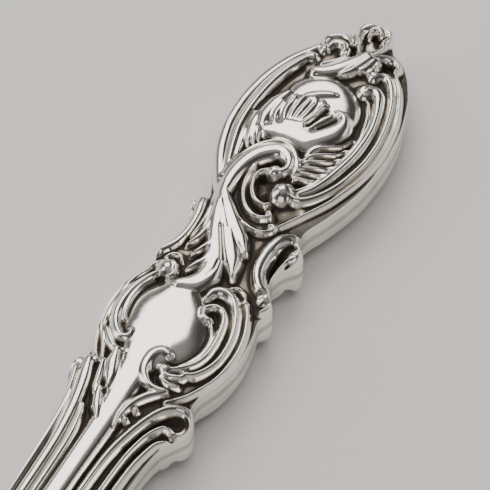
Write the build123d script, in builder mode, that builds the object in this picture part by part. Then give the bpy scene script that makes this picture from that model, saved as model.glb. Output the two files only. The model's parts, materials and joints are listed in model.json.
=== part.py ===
"""Scissor-action silver ice tongs with two hollow ornamental handles.

The tongs lie flat and open.  +X runs from the pivot to the handles, -X to the claws, +Z is up.
The origin is on the pivot axis, at the flat underside of the pivot nut.
Each lever is drawn closed, on a plane that is turned about the pivot by half the opening angle.
The right lever carries the handle on the +Y side and takes the upper half of the lapped joint.
"""

from build123d import *

import os
from math import cos, radians, sin

os.makedirs("parts", exist_ok=True)

RIGHT = 1
LEFT = -1
SIDES = {"right": RIGHT, "left": LEFT}

# Opening: the angle between the closed pose and the rest pose, shared by both levers
opening_angle = 24.0

# Pivot stack, from the nut's underside upwards
nut_thickness = 1.9
nut_radius = 5.8
nut_floor = 0.6
nut_edge = 0.5
spanner_hole_radius = 0.5
spanner_hole_offset = 3.6
spanner_hole_depth = 0.9
thread_end_gap = 0.1
thin_washer = 0.25
lap_thickness = 2.5
center_washer_thickness = 0.3
rosette_thickness = 1.1
rosette_radius = 7.6
rosette_petals = 8
petal_radius = 2.1
rosette_edge = 0.4
screw_head_radius = 3.9
screw_head_height = 1.6
screw_head_dome = 0.8
screw_slot_width = 0.9
screw_slot_depth = 0.8
shank_radius = 2.4
thread_radius = 1.9
bushing_wall = 0.9
running_clearance = 0.04
washer_radius = 6.6
center_washer_radius = 8.0

# Levers
boss_radius = 9.0
lap_clearance = 0.35
grip_heading = 40.0
grip_straight = 13.0
grip_bend_radius = 26.0
jaw_heading = 212.0
jaw_straight = 13.0
jaw_bend_radius = 42.0
jaw_end_heading = 176.0
jaw_run = 20.0
lever_root_width = 7.4
grip_end_width = 6.6
jaw_end_width = 5.0
root_overlap = 0.6
section_round = 0.42
shank_start = 0.08
jaw_stations = 7
grip_stations = 5
tongue_length = 6.0
tongue_thickness = 2.0
tongue_gap = 0.05
tang_reach = 45.0
tang_width = 3.4
tang_thickness = 2.4
tang_gap = 0.1

# Claws
claw_width = 5.8
claw_height = 6.8
claw_lead = 1.6
claw_edge = 1.0
tine_bend_radius = 11.0
tine_sweep = 86.0
tine_fan = 14.0
tine_root_radius = 1.6
tine_root_pitch = 1.7
tine_overlap = 1.2
tine_tip_radius = 0.35
tine_stations = 5
rivet_radius = 0.8
rivet_head_radius = 1.35
rivet_head_height = 0.5
rivet_head_taper = 35.0
rivet_pitch = 2.7
rivet_end_distance = 1.9

# Ferrules
ferrule_length = 7.0
ferrule_bead = 2.0
ferrule_radius_y = 6.6
ferrule_radius_z = 4.3
ferrule_waist_step = 0.7
ferrule_round = 0.6

# Handles, along the handle's own axis from the ferrule to the crest; ornament keeps its place from the crest
handle_length = 102.0
shell_wall = 0.6
filler_gap = 0.05
handle_edge = 1.7
root_half_width = 5.7
stem_half_width = 6.6
stem_position = 16.0
waist_half_width = 7.1
waist_position = handle_length - 67.0
bulge_half_width = 9.3
bulge_position = handle_length - 58.5
neck_half_width = 6.9
neck_position = handle_length - 49.0
throat_half_width = 6.5
throat_position = handle_length - 38.0
oval_start_half_width = 9.7
oval_start_position = handle_length - 30.5
oval_half_width = 11.4
oval_position = handle_length - 21.0
oval_end_half_width = 9.4
oval_end_position = handle_length - 12.5
crest_half_width = 6.3
crest_position = handle_length - 6.5
root_flare = 0.06
root_half_depth = 3.7
shoulder_half_depth = 4.2
shoulder_position = handle_length - 72.0
neck_half_depth = 4.5
oval_half_depth = 4.8
crest_half_depth = 4.2
tip_half_depth = 3.4
profile_overrun = 1.0
scroll_half_depth = 2.6
shoulder_scroll_position = handle_length - 71.0
shoulder_scroll_offset = 7.0
shoulder_scroll_radius = 2.2
neck_scroll_positions = [handle_length - 47.8, handle_length - 40.8]
neck_scroll_offset = 6.6
neck_scroll_radius = 1.9

# Levels of the stack and of the common mid-plane
lower_lap_z = nut_thickness + thin_washer
center_washer_z = lower_lap_z + lap_thickness
upper_lap_z = center_washer_z + center_washer_thickness
lever_top_z = upper_lap_z + lap_thickness
rosette_z = lever_top_z + thin_washer
head_z = rosette_z + rosette_thickness
mid_z = (lower_lap_z + lever_top_z) / 2
lever_thickness = lever_top_z - lower_lap_z
bore_radius = shank_radius + running_clearance
bushing_radius = bore_radius + bushing_wall
bushing_fit_radius = bushing_radius + running_clearance

# Where the handle axis starts and where the jaw straight ends, in a closed lever's own plane
grip_dx = cos(radians(grip_heading))
grip_dy = sin(radians(grip_heading))
grip_x = grip_straight * grip_dx + grip_bend_radius * grip_dy
grip_y = grip_straight * grip_dy + grip_bend_radius * (1 - grip_dx)
handle_x = grip_x + ferrule_length
tang_total = root_overlap + ferrule_length + tang_reach


def lever_plane(side, height=mid_z):
    """Horizontal plane through the pivot, turned with one lever to the rest pose."""
    return Plane.XY.offset(height).rotated((0, 0, side * opening_angle / 2))


def point_on(plane, x, y):
    """Place in space of a point given in a plane's own axes."""
    return plane.from_local_coords(Vector(x, y, 0))


def handle_plane(side):
    """Plane at the handle's root: its X runs up the handle, its Z is up."""
    plane = lever_plane(side)
    return Plane(origin=point_on(plane, handle_x, side * grip_y), x_dir=plane.x_dir, z_dir=(0, 0, 1))


def jaw_path(side):
    """Centre line of the jaw shank: out of the pivot, round a gentle bend and along the straight."""
    direction = (cos(radians(jaw_heading)), side * sin(radians(jaw_heading)))
    turn = jaw_end_heading - jaw_heading
    with BuildLine(lever_plane(side)) as path:
        out = Line((0, 0), (jaw_straight * direction[0], jaw_straight * direction[1]))
        bend = JernArc(out @ 1, out % 1, jaw_bend_radius, side * turn)
        Line(bend @ 1, bend @ 1 + (bend % 1) * jaw_run)
    return path.wire()


def grip_path(side):
    """Centre line of the grip shank: out of the pivot and round to the handle's direction."""
    with BuildLine(lever_plane(side)) as path:
        out = Line((0, 0), (grip_straight * grip_dx, side * grip_straight * grip_dy))
        JernArc(out @ 1, out % 1, grip_bend_radius, -side * grip_heading)
    return path.wire()


def shank_sections(path, root_width, end_width, stations):
    """Planes and widths across a path, from beside the pivot to its end."""
    planes = []
    for step in range(stations):
        share = shank_start + (1 - shank_start) * step / (stations - 1)
        width = root_width + (end_width - root_width) * share
        plane = Plane(origin=path @ share, x_dir=(0, 0, 1), z_dir=path % share)
        planes.append((plane, width))
    return planes


def claw_plane(side):
    """Plane at the end of the jaw shank: its X runs on along the jaw, its Y leads away from the other."""
    path = jaw_path(side)
    return Plane(origin=path @ 1, x_dir=path % 1, z_dir=(0, 0, side))


rivet_places = [
    (-rivet_end_distance, 0),
    (-rivet_end_distance - rivet_pitch, 0),
]


def make_lever(name, side):
    """One forged lever: lapped boss, oval jaw shank with a tongue, oval grip shank with a tang."""
    own_lap_z = upper_lap_z if side == RIGHT else lower_lap_z
    open_lap_z = lower_lap_z if side == RIGHT else center_washer_z
    jaw_sections = shank_sections(jaw_path(side), lever_root_width, jaw_end_width, jaw_stations)
    grip_sections = shank_sections(grip_path(side), lever_root_width, grip_end_width, grip_stations)
    end_plane = claw_plane(side)
    with BuildPart() as lever:
        for plane, width in jaw_sections:
            with BuildSketch(plane):
                RectangleRounded(lever_thickness, width, min(lever_thickness, width) * section_round)
        loft()
        for plane, width in grip_sections:
            with BuildSketch(plane):
                RectangleRounded(lever_thickness, width, min(lever_thickness, width) * section_round)
        loft()
        with BuildSketch(lever_plane(side, open_lap_z)):
            Circle(boss_radius + lap_clearance)
        extrude(amount=lap_thickness + center_washer_thickness, mode=Mode.SUBTRACT)
        with BuildSketch(lever_plane(side, own_lap_z)):
            Circle(boss_radius)
        extrude(amount=lap_thickness)
        for face_side in (1, -1):
            with BuildSketch(end_plane.offset(face_side * tongue_thickness / 2)):
                Rectangle(2 * tongue_length, 2 * claw_width)
            extrude(amount=face_side * lever_thickness, mode=Mode.SUBTRACT)
        with BuildSketch(end_plane):
            with Locations(*rivet_places):
                Circle(rivet_radius)
        extrude(amount=tongue_thickness, both=True, mode=Mode.SUBTRACT)
        with BuildSketch(handle_plane(side).offset(-tang_thickness / 2)):
            with Locations((-ferrule_length - root_overlap, 0)):
                Rectangle(tang_total, tang_width, align=(Align.MIN, Align.CENTER))
        extrude(amount=tang_thickness)
        with BuildSketch(Plane.XY):
            Circle(bushing_fit_radius if side == RIGHT else bushing_radius)
        extrude(amount=head_z, mode=Mode.SUBTRACT)
    lever.part.label = f"{name}_lever"
    export_step(lever.part, f"parts/{name}_lever.step")


def make_claw(name, side):
    """One cast claw: a forked block on the lever's tongue, and three curved tines."""
    root_plane = claw_plane(side)
    block_length = tongue_length + claw_lead
    with BuildPart() as claw:
        with BuildSketch(root_plane):
            with Locations((-tongue_length, 0)):
                Rectangle(block_length, claw_width, align=(Align.MIN, Align.CENTER))
        extrude(amount=claw_height / 2, both=True)
        fillet(claw.edges().filter_by(Axis.Z, reverse=True), claw_edge)
        for row in (-1, 0, 1):
            tine_plane = root_plane.offset(row * tine_root_pitch).rotated((row * tine_fan, 0, 0))
            with BuildLine(tine_plane) as curve:
                JernArc((claw_lead - tine_overlap, 0), (1, 0), tine_bend_radius, -tine_sweep)
            arc = curve.wire()
            for step in range(tine_stations):
                share = step / (tine_stations - 1)
                radius = tine_root_radius + (tine_tip_radius - tine_root_radius) * share
                with BuildSketch(Plane(origin=arc @ share, x_dir=tine_plane.z_dir, z_dir=arc % share)):
                    Circle(radius)
            loft()
        with BuildSketch(root_plane):
            with Locations((tongue_gap, 0)):
                Rectangle(2 * tongue_length, 2 * claw_width, align=(Align.MAX, Align.CENTER))
        extrude(amount=tongue_thickness / 2 + tongue_gap, both=True, mode=Mode.SUBTRACT)
        with BuildSketch(root_plane):
            with Locations(*rivet_places):
                Circle(rivet_radius)
        extrude(amount=claw_height, both=True, mode=Mode.SUBTRACT)
    claw.part.label = f"{name}_claw"
    export_step(claw.part, f"parts/{name}_claw.step")


def make_claw_rivets(name, side):
    """The two rivets that clench one claw on its tongue, as a group."""
    root_plane = claw_plane(side)
    with BuildPart() as rivets:
        with BuildSketch(root_plane):
            with Locations(*rivet_places):
                Circle(rivet_radius)
        extrude(amount=claw_height / 2, both=True)
        for face_side in (1, -1):
            with BuildSketch(root_plane.offset(face_side * claw_height / 2)):
                with Locations(*rivet_places):
                    Circle(rivet_head_radius)
            extrude(amount=face_side * rivet_head_height, taper=rivet_head_taper)
    rivets.part.label = f"{name}_claw_rivets"
    export_step(rivets.part, f"parts/{name}_claw_rivets.step")


def make_ferrule(name, side):
    """One oval ferrule: two rounded beads and a waist, with a slot for the tang."""
    root = handle_plane(side)
    face = Plane(origin=point_on(root, -ferrule_length, 0), x_dir=root.y_dir, z_dir=root.x_dir)
    waist_length = ferrule_length - 2 * ferrule_bead
    with BuildPart() as ferrule:
        with BuildSketch(face, face.offset(ferrule_length - ferrule_bead)):
            Ellipse(ferrule_radius_y, ferrule_radius_z)
        extrude(amount=ferrule_bead)
        fillet(ferrule.edges(), ferrule_round)
        with BuildSketch(face.offset(ferrule_bead / 2)):
            Ellipse(ferrule_radius_y - ferrule_waist_step, ferrule_radius_z - ferrule_waist_step)
        extrude(amount=waist_length + ferrule_bead)
        with BuildSketch(face):
            Rectangle(tang_width + 2 * tang_gap, tang_thickness + 2 * tang_gap)
        extrude(amount=ferrule_length, mode=Mode.SUBTRACT)
    ferrule.part.label = f"{name}_ferrule"
    export_step(ferrule.part, f"parts/{name}_ferrule.step")


def handle_body(side, inset):
    """The handle's rounded volume, drawn in all round by an inset."""
    root = handle_plane(side)
    elevation = Plane(origin=root.origin, x_dir=root.x_dir, z_dir=-root.y_dir)
    end = handle_length - inset
    outline_points = [
        (inset, root_half_width - inset),
        (stem_position, stem_half_width - inset),
        (waist_position, waist_half_width - inset),
        (bulge_position, bulge_half_width - inset),
        (neck_position, neck_half_width - inset),
        (throat_position, throat_half_width - inset),
        (oval_start_position, oval_start_half_width - inset),
        (oval_position, oval_half_width - inset),
        (oval_end_position, oval_end_half_width - inset),
        (crest_position, crest_half_width - inset),
        (end, 0),
    ]
    crown_points = [
        (-profile_overrun, root_half_depth - inset),
        (shoulder_position, shoulder_half_depth - inset),
        (throat_position, neck_half_depth - inset),
        (oval_position, oval_half_depth - inset),
        (crest_position, crest_half_depth - inset),
        (handle_length + profile_overrun, tip_half_depth - inset),
    ]
    with BuildPart() as body:
        with BuildSketch(root):
            with BuildLine():
                flank = Spline(*outline_points, tangents=[(1, root_flare), (0, -1)])
                mirror(flank, about=Plane.XZ)
                Line(flank @ 0, (inset, inset - root_half_width))
            make_face()
        extrude(amount=oval_half_depth, both=True)
        with BuildSketch(elevation):
            with BuildLine():
                crown = Spline(*crown_points)
                mirror(crown, about=Plane.XZ)
                Line(crown @ 0, (-profile_overrun, inset - root_half_depth))
                Line(crown @ 1, (handle_length + profile_overrun, inset - tip_half_depth))
            make_face()
        extrude(amount=2 * oval_half_width, both=True, mode=Mode.INTERSECT)
        crown_faces = body.faces().sort_by(Axis.Z)
        rims = crown_faces[0].edges() + crown_faces[-1].edges()
        root_edges = body.faces().sort_by(Axis(root.origin, root.x_dir))[0].edges()
        fillet(rims - root_edges, handle_edge - inset)
    return body.part


def make_handle_shells(name, side):
    """The two stamped shells of one handle, front and back, that meet on the mid-plane."""
    outside = handle_body(side, 0)
    cavity = handle_body(side, shell_wall)
    root = handle_plane(side)
    scroll_places = []
    for flank in (1, -1):
        shoulder_offset = flank * shoulder_scroll_offset
        scroll_places.append((shoulder_scroll_position, shoulder_offset, shoulder_scroll_radius))
        for position in neck_scroll_positions:
            scroll_places.append((position, flank * neck_scroll_offset, neck_scroll_radius))
    for shell_name, keep in (("front", Keep.TOP), ("back", Keep.BOTTOM)):
        with BuildPart() as shell:
            add(outside)
            for along, across, radius in scroll_places:
                with BuildSketch(root):
                    with Locations((along, across)):
                        Circle(radius)
                extrude(amount=scroll_half_depth, both=True)
            add(cavity, mode=Mode.SUBTRACT)
            with BuildSketch(root.offset(-tang_thickness / 2 - tang_gap)):
                Rectangle(4 * shell_wall, tang_width + 2 * tang_gap)
            extrude(amount=tang_thickness + 2 * tang_gap, mode=Mode.SUBTRACT)
            split(bisect_by=root, keep=keep)
        shell.part.label = f"{name}_handle_{shell_name}_shell"
        export_step(shell.part, f"parts/{name}_handle_{shell_name}_shell.step")


def make_handle_filler(name, side):
    """The cement that fills one handle and holds the tang."""
    root = handle_plane(side)
    with BuildPart() as filler:
        add(handle_body(side, shell_wall + filler_gap))
        with BuildSketch(root.offset(-tang_thickness / 2)):
            Rectangle(2 * tang_reach, tang_width)
        extrude(amount=tang_thickness, mode=Mode.SUBTRACT)
    filler.part.label = f"{name}_handle_filler"
    export_step(filler.part, f"parts/{name}_handle_filler.step")


def make_washer(name, bottom, thickness, outer_radius, inner_radius):
    """One flat washer of the pivot stack."""
    with BuildPart() as washer:
        with BuildSketch(Plane.XY.offset(bottom)):
            Circle(outer_radius)
            Circle(inner_radius, mode=Mode.SUBTRACT)
        extrude(amount=thickness)
    washer.part.label = name
    export_step(washer.part, f"parts/{name}.step")


def make_pivot_bushing():
    """Bronze bushing: pressed into the left lever, turning in the right one."""
    with BuildPart() as pivot_bushing:
        with BuildSketch(Plane.XY.offset(lower_lap_z)):
            Circle(bushing_radius)
            Circle(bore_radius, mode=Mode.SUBTRACT)
        extrude(amount=lever_thickness)
    pivot_bushing.part.label = "pivot_bushing"
    export_step(pivot_bushing.part, "parts/pivot_bushing.step")


def make_pivot_rosette():
    """Cast rosette under the screw head: a dished disc with a ring of petals."""
    with BuildPart() as pivot_rosette:
        with BuildSketch(Plane.XY.offset(rosette_z)):
            Circle(rosette_radius - petal_radius / 2)
            with PolarLocations(rosette_radius - petal_radius, rosette_petals):
                Circle(petal_radius)
            Circle(bore_radius, mode=Mode.SUBTRACT)
        extrude(amount=rosette_thickness)
        chamfer(pivot_rosette.faces().sort_by(Axis.Z)[-1].outer_wire().edges(), rosette_edge)
    pivot_rosette.part.label = "pivot_rosette"
    export_step(pivot_rosette.part, "parts/pivot_rosette.step")


def make_pivot_screw():
    """Shouldered pivot screw: slotted domed head, plain shank and a thinner threaded end."""
    thread_start = nut_floor + thread_end_gap
    with BuildPart() as pivot_screw:
        with BuildSketch(Plane.XY.offset(thread_start)):
            Circle(thread_radius)
        extrude(amount=nut_thickness - thread_start)
        with BuildSketch(Plane.XY.offset(nut_thickness)):
            Circle(shank_radius)
        extrude(amount=head_z - nut_thickness)
        with BuildSketch(Plane.XY.offset(head_z)):
            Circle(screw_head_radius)
        extrude(amount=screw_head_height)
        fillet(pivot_screw.edges().sort_by(Axis.Z)[-1], screw_head_height * screw_head_dome)
        with BuildSketch(Plane.XY.offset(head_z + screw_head_height - screw_slot_depth)):
            Rectangle(2 * screw_head_radius, screw_slot_width)
        extrude(amount=screw_slot_depth, mode=Mode.SUBTRACT)
    pivot_screw.part.label = "pivot_screw"
    export_step(pivot_screw.part, "parts/pivot_screw.step")


def make_pivot_nut():
    """Round blind nut: its flat underside is the face that the tongs rest on, with two spanner holes."""
    with BuildPart() as pivot_nut:
        with BuildSketch(Plane.XY):
            Circle(nut_radius)
        extrude(amount=nut_thickness)
        fillet(pivot_nut.faces().sort_by(Axis.Z)[0].outer_wire().edges(), nut_edge)
        with BuildSketch(Plane.XY.offset(nut_floor)):
            Circle(thread_radius)
        extrude(amount=nut_thickness - nut_floor, mode=Mode.SUBTRACT)
        with BuildSketch(Plane.XY):
            with Locations((spanner_hole_offset, 0), (-spanner_hole_offset, 0)):
                Circle(spanner_hole_radius)
        extrude(amount=spanner_hole_depth, mode=Mode.SUBTRACT)
    pivot_nut.part.label = "pivot_nut"
    export_step(pivot_nut.part, "parts/pivot_nut.step")


for side_name, side_sign in SIDES.items():
    make_lever(side_name, side_sign)
    make_claw(side_name, side_sign)
    make_claw_rivets(side_name, side_sign)
    make_ferrule(side_name, side_sign)
    make_handle_shells(side_name, side_sign)
    make_handle_filler(side_name, side_sign)

make_washer("bottom_washer", nut_thickness, thin_washer, washer_radius, bore_radius)
make_washer("top_washer", lever_top_z, thin_washer, washer_radius, bore_radius)
make_washer(
    "center_washer", center_washer_z, center_washer_thickness, center_washer_radius, bushing_fit_radius
)
make_pivot_bushing()
make_pivot_rosette()
make_pivot_screw()
make_pivot_nut()
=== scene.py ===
"""Looks of the silver ice tongs: struck ornamental handles, turned ferrules, forged levers, studio."""

import json
import logging
import math
from dataclasses import dataclass, field
from enum import Enum

import bmesh
import bpy
import numpy as np
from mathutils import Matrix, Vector


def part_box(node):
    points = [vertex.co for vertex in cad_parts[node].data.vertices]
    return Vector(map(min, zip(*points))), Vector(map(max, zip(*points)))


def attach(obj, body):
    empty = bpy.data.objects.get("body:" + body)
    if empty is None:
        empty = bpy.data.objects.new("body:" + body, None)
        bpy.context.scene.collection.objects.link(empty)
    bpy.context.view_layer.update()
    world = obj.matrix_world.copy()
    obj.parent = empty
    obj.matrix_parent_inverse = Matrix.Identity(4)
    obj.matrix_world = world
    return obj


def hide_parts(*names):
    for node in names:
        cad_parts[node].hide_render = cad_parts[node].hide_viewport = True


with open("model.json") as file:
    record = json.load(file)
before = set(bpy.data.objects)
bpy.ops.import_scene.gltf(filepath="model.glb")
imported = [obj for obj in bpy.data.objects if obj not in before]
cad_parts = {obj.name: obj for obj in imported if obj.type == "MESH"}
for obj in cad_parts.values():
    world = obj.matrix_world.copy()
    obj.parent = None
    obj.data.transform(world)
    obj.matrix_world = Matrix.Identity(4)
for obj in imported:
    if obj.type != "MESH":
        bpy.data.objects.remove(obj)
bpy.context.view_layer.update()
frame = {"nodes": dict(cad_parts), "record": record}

LOG = logging.getLogger("ice_tongs")
MM = 0.001
HALF_OPENING = math.radians(12.0)
FERRULE_LENGTH = 7.0
CURVE_SAMPLES = 7
STROKE_REACH = 1.35
STROKE_BLEND = 0.07
WELD_DISTANCE = 1e-7
FAR = 1e9
TINY = 1e-12
UP = np.array([0.0, 0.0, 1.0])


class Side(Enum):
    """Which lever a piece belongs to; the value is the sign of its handle's side along Y."""

    RIGHT = 1
    LEFT = -1

    @property
    def word(self) -> str:
        """Returns the side's name in lower case."""
        return self.name.lower()

    @property
    def body(self) -> str:
        """Returns the name of the rigid body on this side."""
        return f"{self.word}_half"


class Face(Enum):
    """Which struck shell of a handle: the value is the sign of its height over the mid-plane."""

    FRONT = 1
    BACK = -1


class Section(Enum):
    """Cross-section of a stroke of relief.

    The first number is the power of the distance in its fall, and the second how far its foot spreads.
    """

    ROUND = (2.0, 1.5)
    FULL = (2.6, 1.3)
    FLAT = (3.4, 1.1)
    PLATE = (8.0, 1.02)


def smooth_curve(points: np.ndarray, samples: int) -> np.ndarray:
    """A smooth curve through every point.

    It is a cubic between each two points, and its slope at a point is half the step between the
    point's neighbours.

    Args:
        points: points of the curve, one row each.
        samples: how many samples to take between two points.

    Returns:
        The samples, one row each, with the last point.
    """
    ends = np.vstack([2 * points[0] - points[1], points, 2 * points[-1] - points[-2]])
    before, here, after, beyond = ends[:-3], ends[1:-2], ends[2:-1], ends[3:]
    share = (np.arange(samples) / samples)[None, :, None]
    slope_here = ((after - before) / 2)[:, None, :]
    slope_after = ((beyond - here) / 2)[:, None, :]
    step = (after - here)[:, None, :]
    cubic = (
        here[:, None, :]
        + slope_here * share
        + (3 * step - 2 * slope_here - slope_after) * share**2
        + (slope_here + slope_after - 2 * step) * share**3
    )
    return np.vstack([cubic.reshape(-1, points.shape[1]), points[-1:]])


def blurred(field_values: np.ndarray, reach: int) -> np.ndarray:
    """Three moving averages one after another along both directions, which come near a bell curve.

    Args:
        field_values: values on a grid.
        reach: cells on each side that one average takes in.

    Returns:
        The softened values on the same grid.
    """
    result = field_values
    for axis in (0, 1, 0, 1, 0, 1):
        padding = [(0, 0), (0, 0)]
        padding[axis] = (reach + 1, reach)
        total = np.cumsum(np.pad(result, padding, mode="edge"), axis=axis)
        width = 2 * reach + 1
        ahead = np.take(total, range(width, total.shape[axis]), axis=axis)
        behind = np.take(total, range(0, total.shape[axis] - width), axis=axis)
        result = (ahead - behind) / width
    return result


def ramp(values: np.ndarray, low: float, high: float) -> np.ndarray:
    """Rises smoothly from 0 at low to 1 at high, three squares less two cubes of the share between."""
    share = np.clip((values - low) / (high - low), 0.0, 1.0)
    return share * share * (3 - 2 * share)


def soft_greater(first: np.ndarray, second: np.ndarray, blend: float) -> np.ndarray:
    """The greater of two heights, rounded by blend where they cross."""
    return (first + second + np.sqrt((first - second) ** 2 + blend**2)) / 2


def soft_lesser(first: np.ndarray, second: np.ndarray, blend: float) -> np.ndarray:
    """The lesser of two heights, rounded by blend where they cross."""
    return (first + second - np.sqrt((first - second) ** 2 + blend**2)) / 2


def superellipse(angle: np.ndarray, power: float) -> tuple[np.ndarray, np.ndarray]:
    """Sides and heights of a unit superellipse: the cosine and the sine, each to a power with its sign."""
    across = np.sign(np.cos(angle)) * np.abs(np.cos(angle)) ** power
    height = np.sign(np.sin(angle)) * np.abs(np.sin(angle)) ** power
    return across, height


def carried(along: np.ndarray, across: np.ndarray, height: np.ndarray) -> np.ndarray:
    """A grid of points from one place along for each row, and sides and heights for each point."""
    return np.stack([np.repeat(along[:, None], across.shape[1], axis=1), across, height], axis=2)


def in_reach(line: np.ndarray, reach: float, along: np.ndarray, across: np.ndarray) -> np.ndarray:
    """Marks the places inside the box of a line, widened by a reach on every side."""
    low = line.min(axis=0) - reach
    high = line.max(axis=0) + reach
    return (along > low[0]) & (along < high[0]) & (across > low[1]) & (across < high[1])


def nearest_on_step(
    places: np.ndarray, start: np.ndarray, end: np.ndarray
) -> tuple[np.ndarray, np.ndarray]:
    """Measures to one straight step of a line.

    Args:
        places: points of the drawing, one row each.
        start: where the step starts.
        end: where it ends.

    Returns:
        Each place's distance from the step, and the share of the step that lies before its nearest point.
    """
    step = end - start
    share = np.clip(((places - start) @ step) / (step @ step + TINY), 0.0, 1.0)
    return np.hypot(*(places - start - share[:, None] * step).T), share


@dataclass(frozen=True)
class Stroke:
    """One raised line of the relief, drawn in millimetres along and across the handle.

    Its top follows the crowned face at a rise, and its flanks fall by a power of the distance from
    its centre line, so that they reach the sunk ground at its half width.
    """

    path: tuple
    widths: tuple
    rise: float = 0.0
    section: Section = Section.ROUND
    depth: float = 0.95

    def raise_on(
        self, along: np.ndarray, across: np.ndarray, crown: np.ndarray, relief: np.ndarray
    ) -> None:
        """Lifts the relief to this stroke wherever the stroke is the higher of the two.

        Args:
            along: each grid point's place along the drawing.
            across: each grid point's place across the drawing.
            crown: height of the crowned face at each grid point.
            relief: heights so far, changed in place.
        """
        points = np.array(self.path, float).reshape(-1, 2)
        line = smooth_curve(points, CURVE_SAMPLES) if len(points) > 1 else np.vstack([points, points])
        power, spread = self.section.value
        given = np.array(self.widths, float) * spread
        widths = np.interp(np.linspace(0, 1, len(line)), np.linspace(0, 1, len(given)), given)
        inside = in_reach(line, STROKE_REACH * widths.max(), along, across)
        here = np.stack([along[inside], across[inside]], axis=1)
        best = np.full(len(here), FAR)
        for start, end, width_start, width_end in zip(line[:-1], line[1:], widths[:-1], widths[1:]):
            distance, share = nearest_on_step(here, start, end)
            best = np.minimum(best, distance / (width_start + share * (width_end - width_start)))
        top = crown[inside] + self.rise - (self.depth + self.rise) * best**power
        below = relief[inside]
        relief[inside] = np.where(best < STROKE_REACH, soft_greater(top, below, STROKE_BLEND), below)


@dataclass(frozen=True)
class Cut:
    """One engraved line: a groove of parabolic section sunk into whatever relief it crosses."""

    path: tuple
    width: float
    depth: float

    def sink_in(self, along: np.ndarray, across: np.ndarray, relief: np.ndarray) -> None:
        """Lowers the relief along this line, by its depth times one less the squared share of its width.

        Args:
            along: each grid point's place along the drawing.
            across: each grid point's place across the drawing.
            relief: heights so far, changed in place.
        """
        line = smooth_curve(np.array(self.path, float), CURVE_SAMPLES)
        inside = in_reach(line, self.width, along, across)
        here = np.stack([along[inside], across[inside]], axis=1)
        best = np.full(len(here), FAR)
        for start, end in zip(line[:-1], line[1:]):
            best = np.minimum(best, nearest_on_step(here, start, end)[0])
        relief[inside] -= self.depth * np.clip(1 - (best / self.width) ** 2, 0.0, 1.0)


def ball(along: float, across: float, radius: float, rise: float) -> Stroke:
    """A round boss at one place of the drawing."""
    return Stroke(((along, across),), (radius, radius), rise)


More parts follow.
